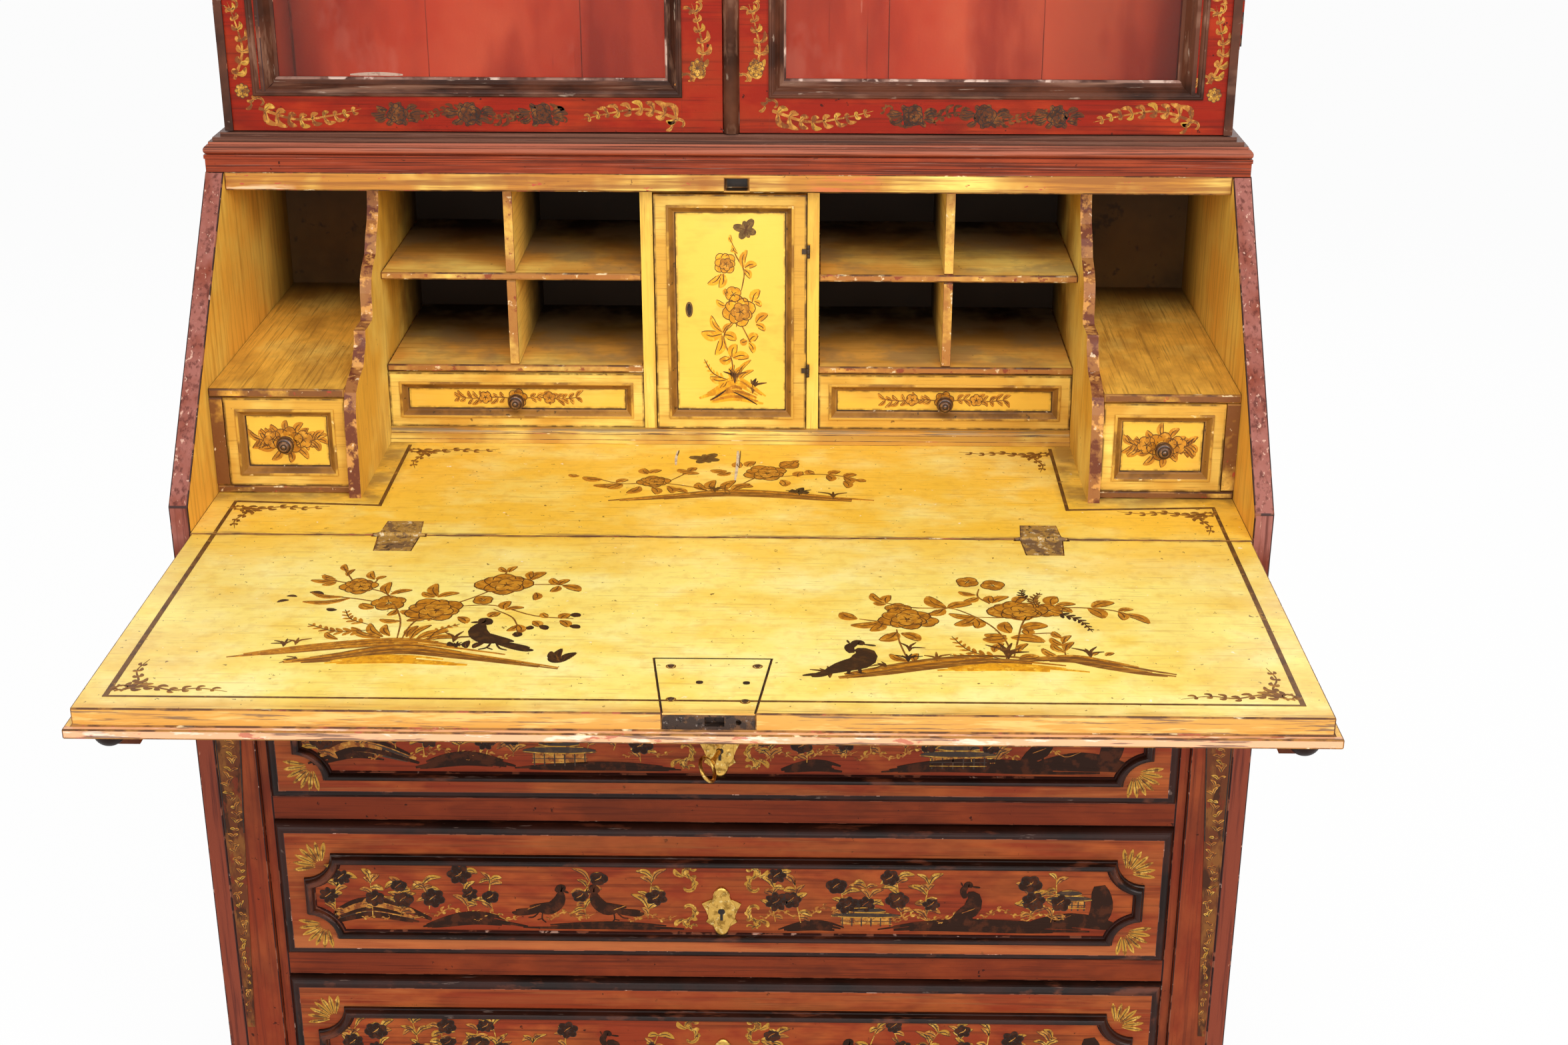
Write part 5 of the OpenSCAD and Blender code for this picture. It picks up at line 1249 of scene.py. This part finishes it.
def key_plate(i):
    """Embossed brass plate over a keyhole. In polar form about its middle the rim is
    r(a) = 19 + 5 cos 2(a - 90) + 2.2 cos 4a + 1.6 cos 6(a - 90), stretched upright; from middle
    to rim the surface falls 0.9 in a low dome with a ring of small bosses, and ends in a rolled edge."""
    n, m = 96, 18
    back_y, mid_y, tip_y = -4.9, -7.1, -8.0
    key_x, key_drop = -2.0, 101.0
    a = np.linspace(0, 2 * np.pi, n, endpoint=False)
    up = a - np.pi / 2
    rim = 19 + 5 * np.cos(2 * up) + 2.2 * np.cos(4 * a) + 1.6 * np.cos(6 * up)
    s = np.linspace(0.02, 1.0, m)[:, None]
    x = rim * s * np.cos(a)
    z = rim * s * np.sin(a) * 1.12 - 1.0
    edge = 0.7 * np.exp(-((s - 0.93) / 0.05) ** 2)
    bosses = 0.35 * np.exp(-((s - 0.6) / 0.07) ** 2) * np.cos(8 * a)
    y = np.where(s < 0.995, mid_y - (0.9 * (1 - s ** 2) + edge + bosses), -6.0)
    top = np.stack([x, y, z], 2).reshape(-1, 3)
    back = np.stack([x[-1], np.full(n, back_y), z[-1]], 1)
    verts = np.vstack([top, back, [[0, tip_y, -1.0]], [[0, back_y, -1.0]]])
    j = np.arange(n)
    k = (j + 1) % n
    quads = [np.stack([b * n + j, (b + 1) * n + j, (b + 1) * n + k, b * n + k], 1) for b in range(m)]
    faces = [list(q) for q in np.vstack(quads)]
    faces += [[len(verts) - 2, int(p), int(q)] for p, q in zip(j, k)]
    faces += [[len(verts) - 1, int(m * n + q), int(m * n + p)] for p, q in zip(j, k)]
    verts += (key_x, 0, TOPS[i] - key_drop)
    name = "drawer_%d" % (i + 1)
    make_piece(name + "_key_plate", verts, faces, [BRASS], name, smooth=True)
    # The keyhole is painted black as the shade inside it.
    hole = [stroke([(key_x, TOPS[i] - 104), (key_x, TOPS[i] - 98)], 7.5, "black", 1, 0.3),
            bar(key_x, TOPS[i] - 112, key_x, TOPS[i] - 102, 3.0, "black")]
    paint_on(name + "_keyhole", name, hole, "front", tip_y - 0.3)


for i in range(3):
    key_plate(i)

# Gilt strips on the corner stiles: dark leaves climbing the gold, which narrows toward its foot.
STRIP_X, STRIP_TOP, STRIP_Y = 538.5, -94.0, 1.2  # outer edge, upper end and face of a strip
strip_marks = []
for s in (-1, 1):
    g = np.random.default_rng(80)
    for z in np.arange(-105, -590, -9.0):
        half = 15 * (1 - (STRIP_TOP - z) / 640)
        x = s * (STRIP_X - half - 1.5) + 0.35 * half * math.sin(z * 0.09)
        for k in (-1, 1):
            strip_marks += leaf(x, z, x + k * g.uniform(0.45, 0.75) * half, z + g.uniform(-3, 10), 3.6,
                                "leafgold" if g.uniform() > 0.3 else "gold", "black", 0.15 * k)
    strip_marks += [bar(s * 503.5, STRIP_TOP, s * 518.5, -352, 1.2, "black"),
                    bar(s * 538, STRIP_TOP, s * 538, -352, 1.2, "black")]
paint_on("gilt_strip_leaves", "case", strip_marks, "front", STRIP_Y)

# Keyhole of the cupboard door: an oval iron rim round a slit painted black as the shade inside it.
HOLE_X, HOLE_Z = -44.0, 156.0
oval = np.linspace(0, 2 * np.pi, 25)
rim = np.stack([HOLE_X + 3.2 * np.cos(oval), HOLE_Z + 8.0 * np.sin(oval)], 1)
slit = stroke([(HOLE_X, HOLE_Z - 7), (HOLE_X, HOLE_Z), (HOLE_X, HOLE_Z + 7)], 5.5, "black", 1, 0.3)
paint_on("cupboard_keyhole", "cupboard_door", [slit, (rim, np.full(25, 0.9), 5, "moth")], "front",
         PANEL_FRONT)


# ---------------------------------------------------------------- camera, floor, lamps

# The photograph's viewpoint, in front of the desk at head height, as its perspective gives it: eye in
# mm from the bed, turns in radians, and focal length and width of the picture in its pixels.
EYE = (91.8, -1997.1, 843.3)
YAW, TILT, ROLL = -0.013311, math.radians(22.486), -0.001945
FOCAL_PX, PICTURE_PX, SENSOR = 3203.5, 2352.0, 36.0


def photo_camera():
    """Camera at the photograph's viewpoint, looking down by TILT."""
    ahead = np.array([math.sin(YAW) * math.cos(TILT), math.cos(YAW) * math.cos(TILT), -math.sin(TILT)])
    right = np.array([math.cos(YAW), -math.sin(YAW), 0.0])
    down = np.cross(ahead, right)
    c, s = math.cos(ROLL), math.sin(ROLL)
    x_axis, y_axis = c * right + s * down, s * right - c * down
    data = bpy.data.cameras.new("photo_camera")
    data.sensor_width = SENSOR
    data.lens = SENSOR * FOCAL_PX / PICTURE_PX
    data.clip_end = 50.0
    cam = bpy.data.objects.new("photo_camera", data)
    m = Matrix.Identity(4)
    for i in range(3):
        m[i][0], m[i][1], m[i][2] = x_axis[i], y_axis[i], -ahead[i]
    m.translation = Vector(at_bed(EYE))
    cam.matrix_world = m
    bpy.context.scene.collection.objects.link(cam)
    bpy.context.scene.camera = cam


def lamp(name, place, target, size, watts):
    """Square soft lamp at place, turned to target, both in metres in the row frame."""
    data = bpy.data.lights.new(name, "AREA")
    data.shape = "SQUARE"
    data.size = size
    data.energy = watts
    o = bpy.data.objects.new(name, data)
    o.location = place
    o.rotation_euler = (Vector(target) - Vector(place)).to_track_quat("-Z", "Y").to_euler()
    bpy.context.scene.collection.objects.link(o)


photo_camera()

FLOOR_HALF = 9  # half of the floor's side in metres
floor_mesh = bpy.data.meshes.new("floor")
corners = [(x * FLOOR_HALF, y * FLOOR_HALF, 0) for x, y in ((-1, -1), (1, -1), (1, 1), (-1, 1))]
floor_mesh.from_pydata(corners, [], [(0, 1, 2, 3)])
floor = bpy.data.objects.new("floor", floor_mesh)
bpy.context.scene.collection.objects.link(floor)
# White paper: seen by the camera or in a gloss it glows almost white and keeps a soft shadow.
paper = finish("white_paper_sweep", "F4F4F2", [], 0.9, (3.0, 0.05))
t = paper.node_tree
seen = add(t, "Math", {0: add(t, "LightPath", out=0), 1: add(t, "LightPath", out=3)}, operation="MAXIMUM")
glow = add(t, "Emission", {"Color": (1, 1, 1, 1), "Strength": 1.0})
share = add(t, "Math", {0: seen, 1: 0.95}, operation="MULTIPLY")
lit = add(t, "MixShader", {0: share, 1: t.nodes["Principled BSDF"].outputs[0], 2: glow})
t.links.new(lit, t.nodes["Material Output"].inputs[0])
floor_mesh.materials.append(paper)

# The world is white to the camera, to gloss and to glass, and lights the object at AMBIENT.
AMBIENT = 0.45
world = bpy.data.worlds.new("studio")
bpy.context.scene.world = world
world.use_nodes = True
wt = world.node_tree
rays = [add(wt, "LightPath", out=k) for k in ("Is Camera Ray", "Is Glossy Ray", "Is Transmission Ray")]
view = add(wt, "Math", {0: rays[0], 1: rays[1]}, operation="MAXIMUM")
view = add(wt, "Math", {0: view, 1: rays[2]}, operation="MAXIMUM")
sky = wt.nodes["Background"]
sky.inputs["Color"].default_value = (1, 1, 1, 1)
strength = add(wt, "Math", {0: view, 1: 1 - AMBIENT, 2: AMBIENT}, operation="MULTIPLY_ADD")
wt.links.new(strength, sky.inputs["Strength"])

# name, place and target in metres, size in metres, watts
for row in (("key_lamp", (2.2, -2.9, 2.5), (0, 0, 1.0), 1.6, 74.0),
            ("fill_lamp", (-2.0, -3.2, 2.0), (0, 0, 0.9), 2.0, 36.0),
            ("low_lamp", (0.2, -3.4, 0.7), (0, 0, 0.8), 1.6, 22.0),
            ("top_lamp", (0.0, -1.9, 3.0), (0, -0.3, 0.8), 1.8, 42.0),
            ("back_lamp", (0.0, 3.2, 2.6), (0, 0, 1.0), 2.2, 55.0)):
    lamp(*row)
bpy.context.scene.view_settings.view_transform = "Standard"
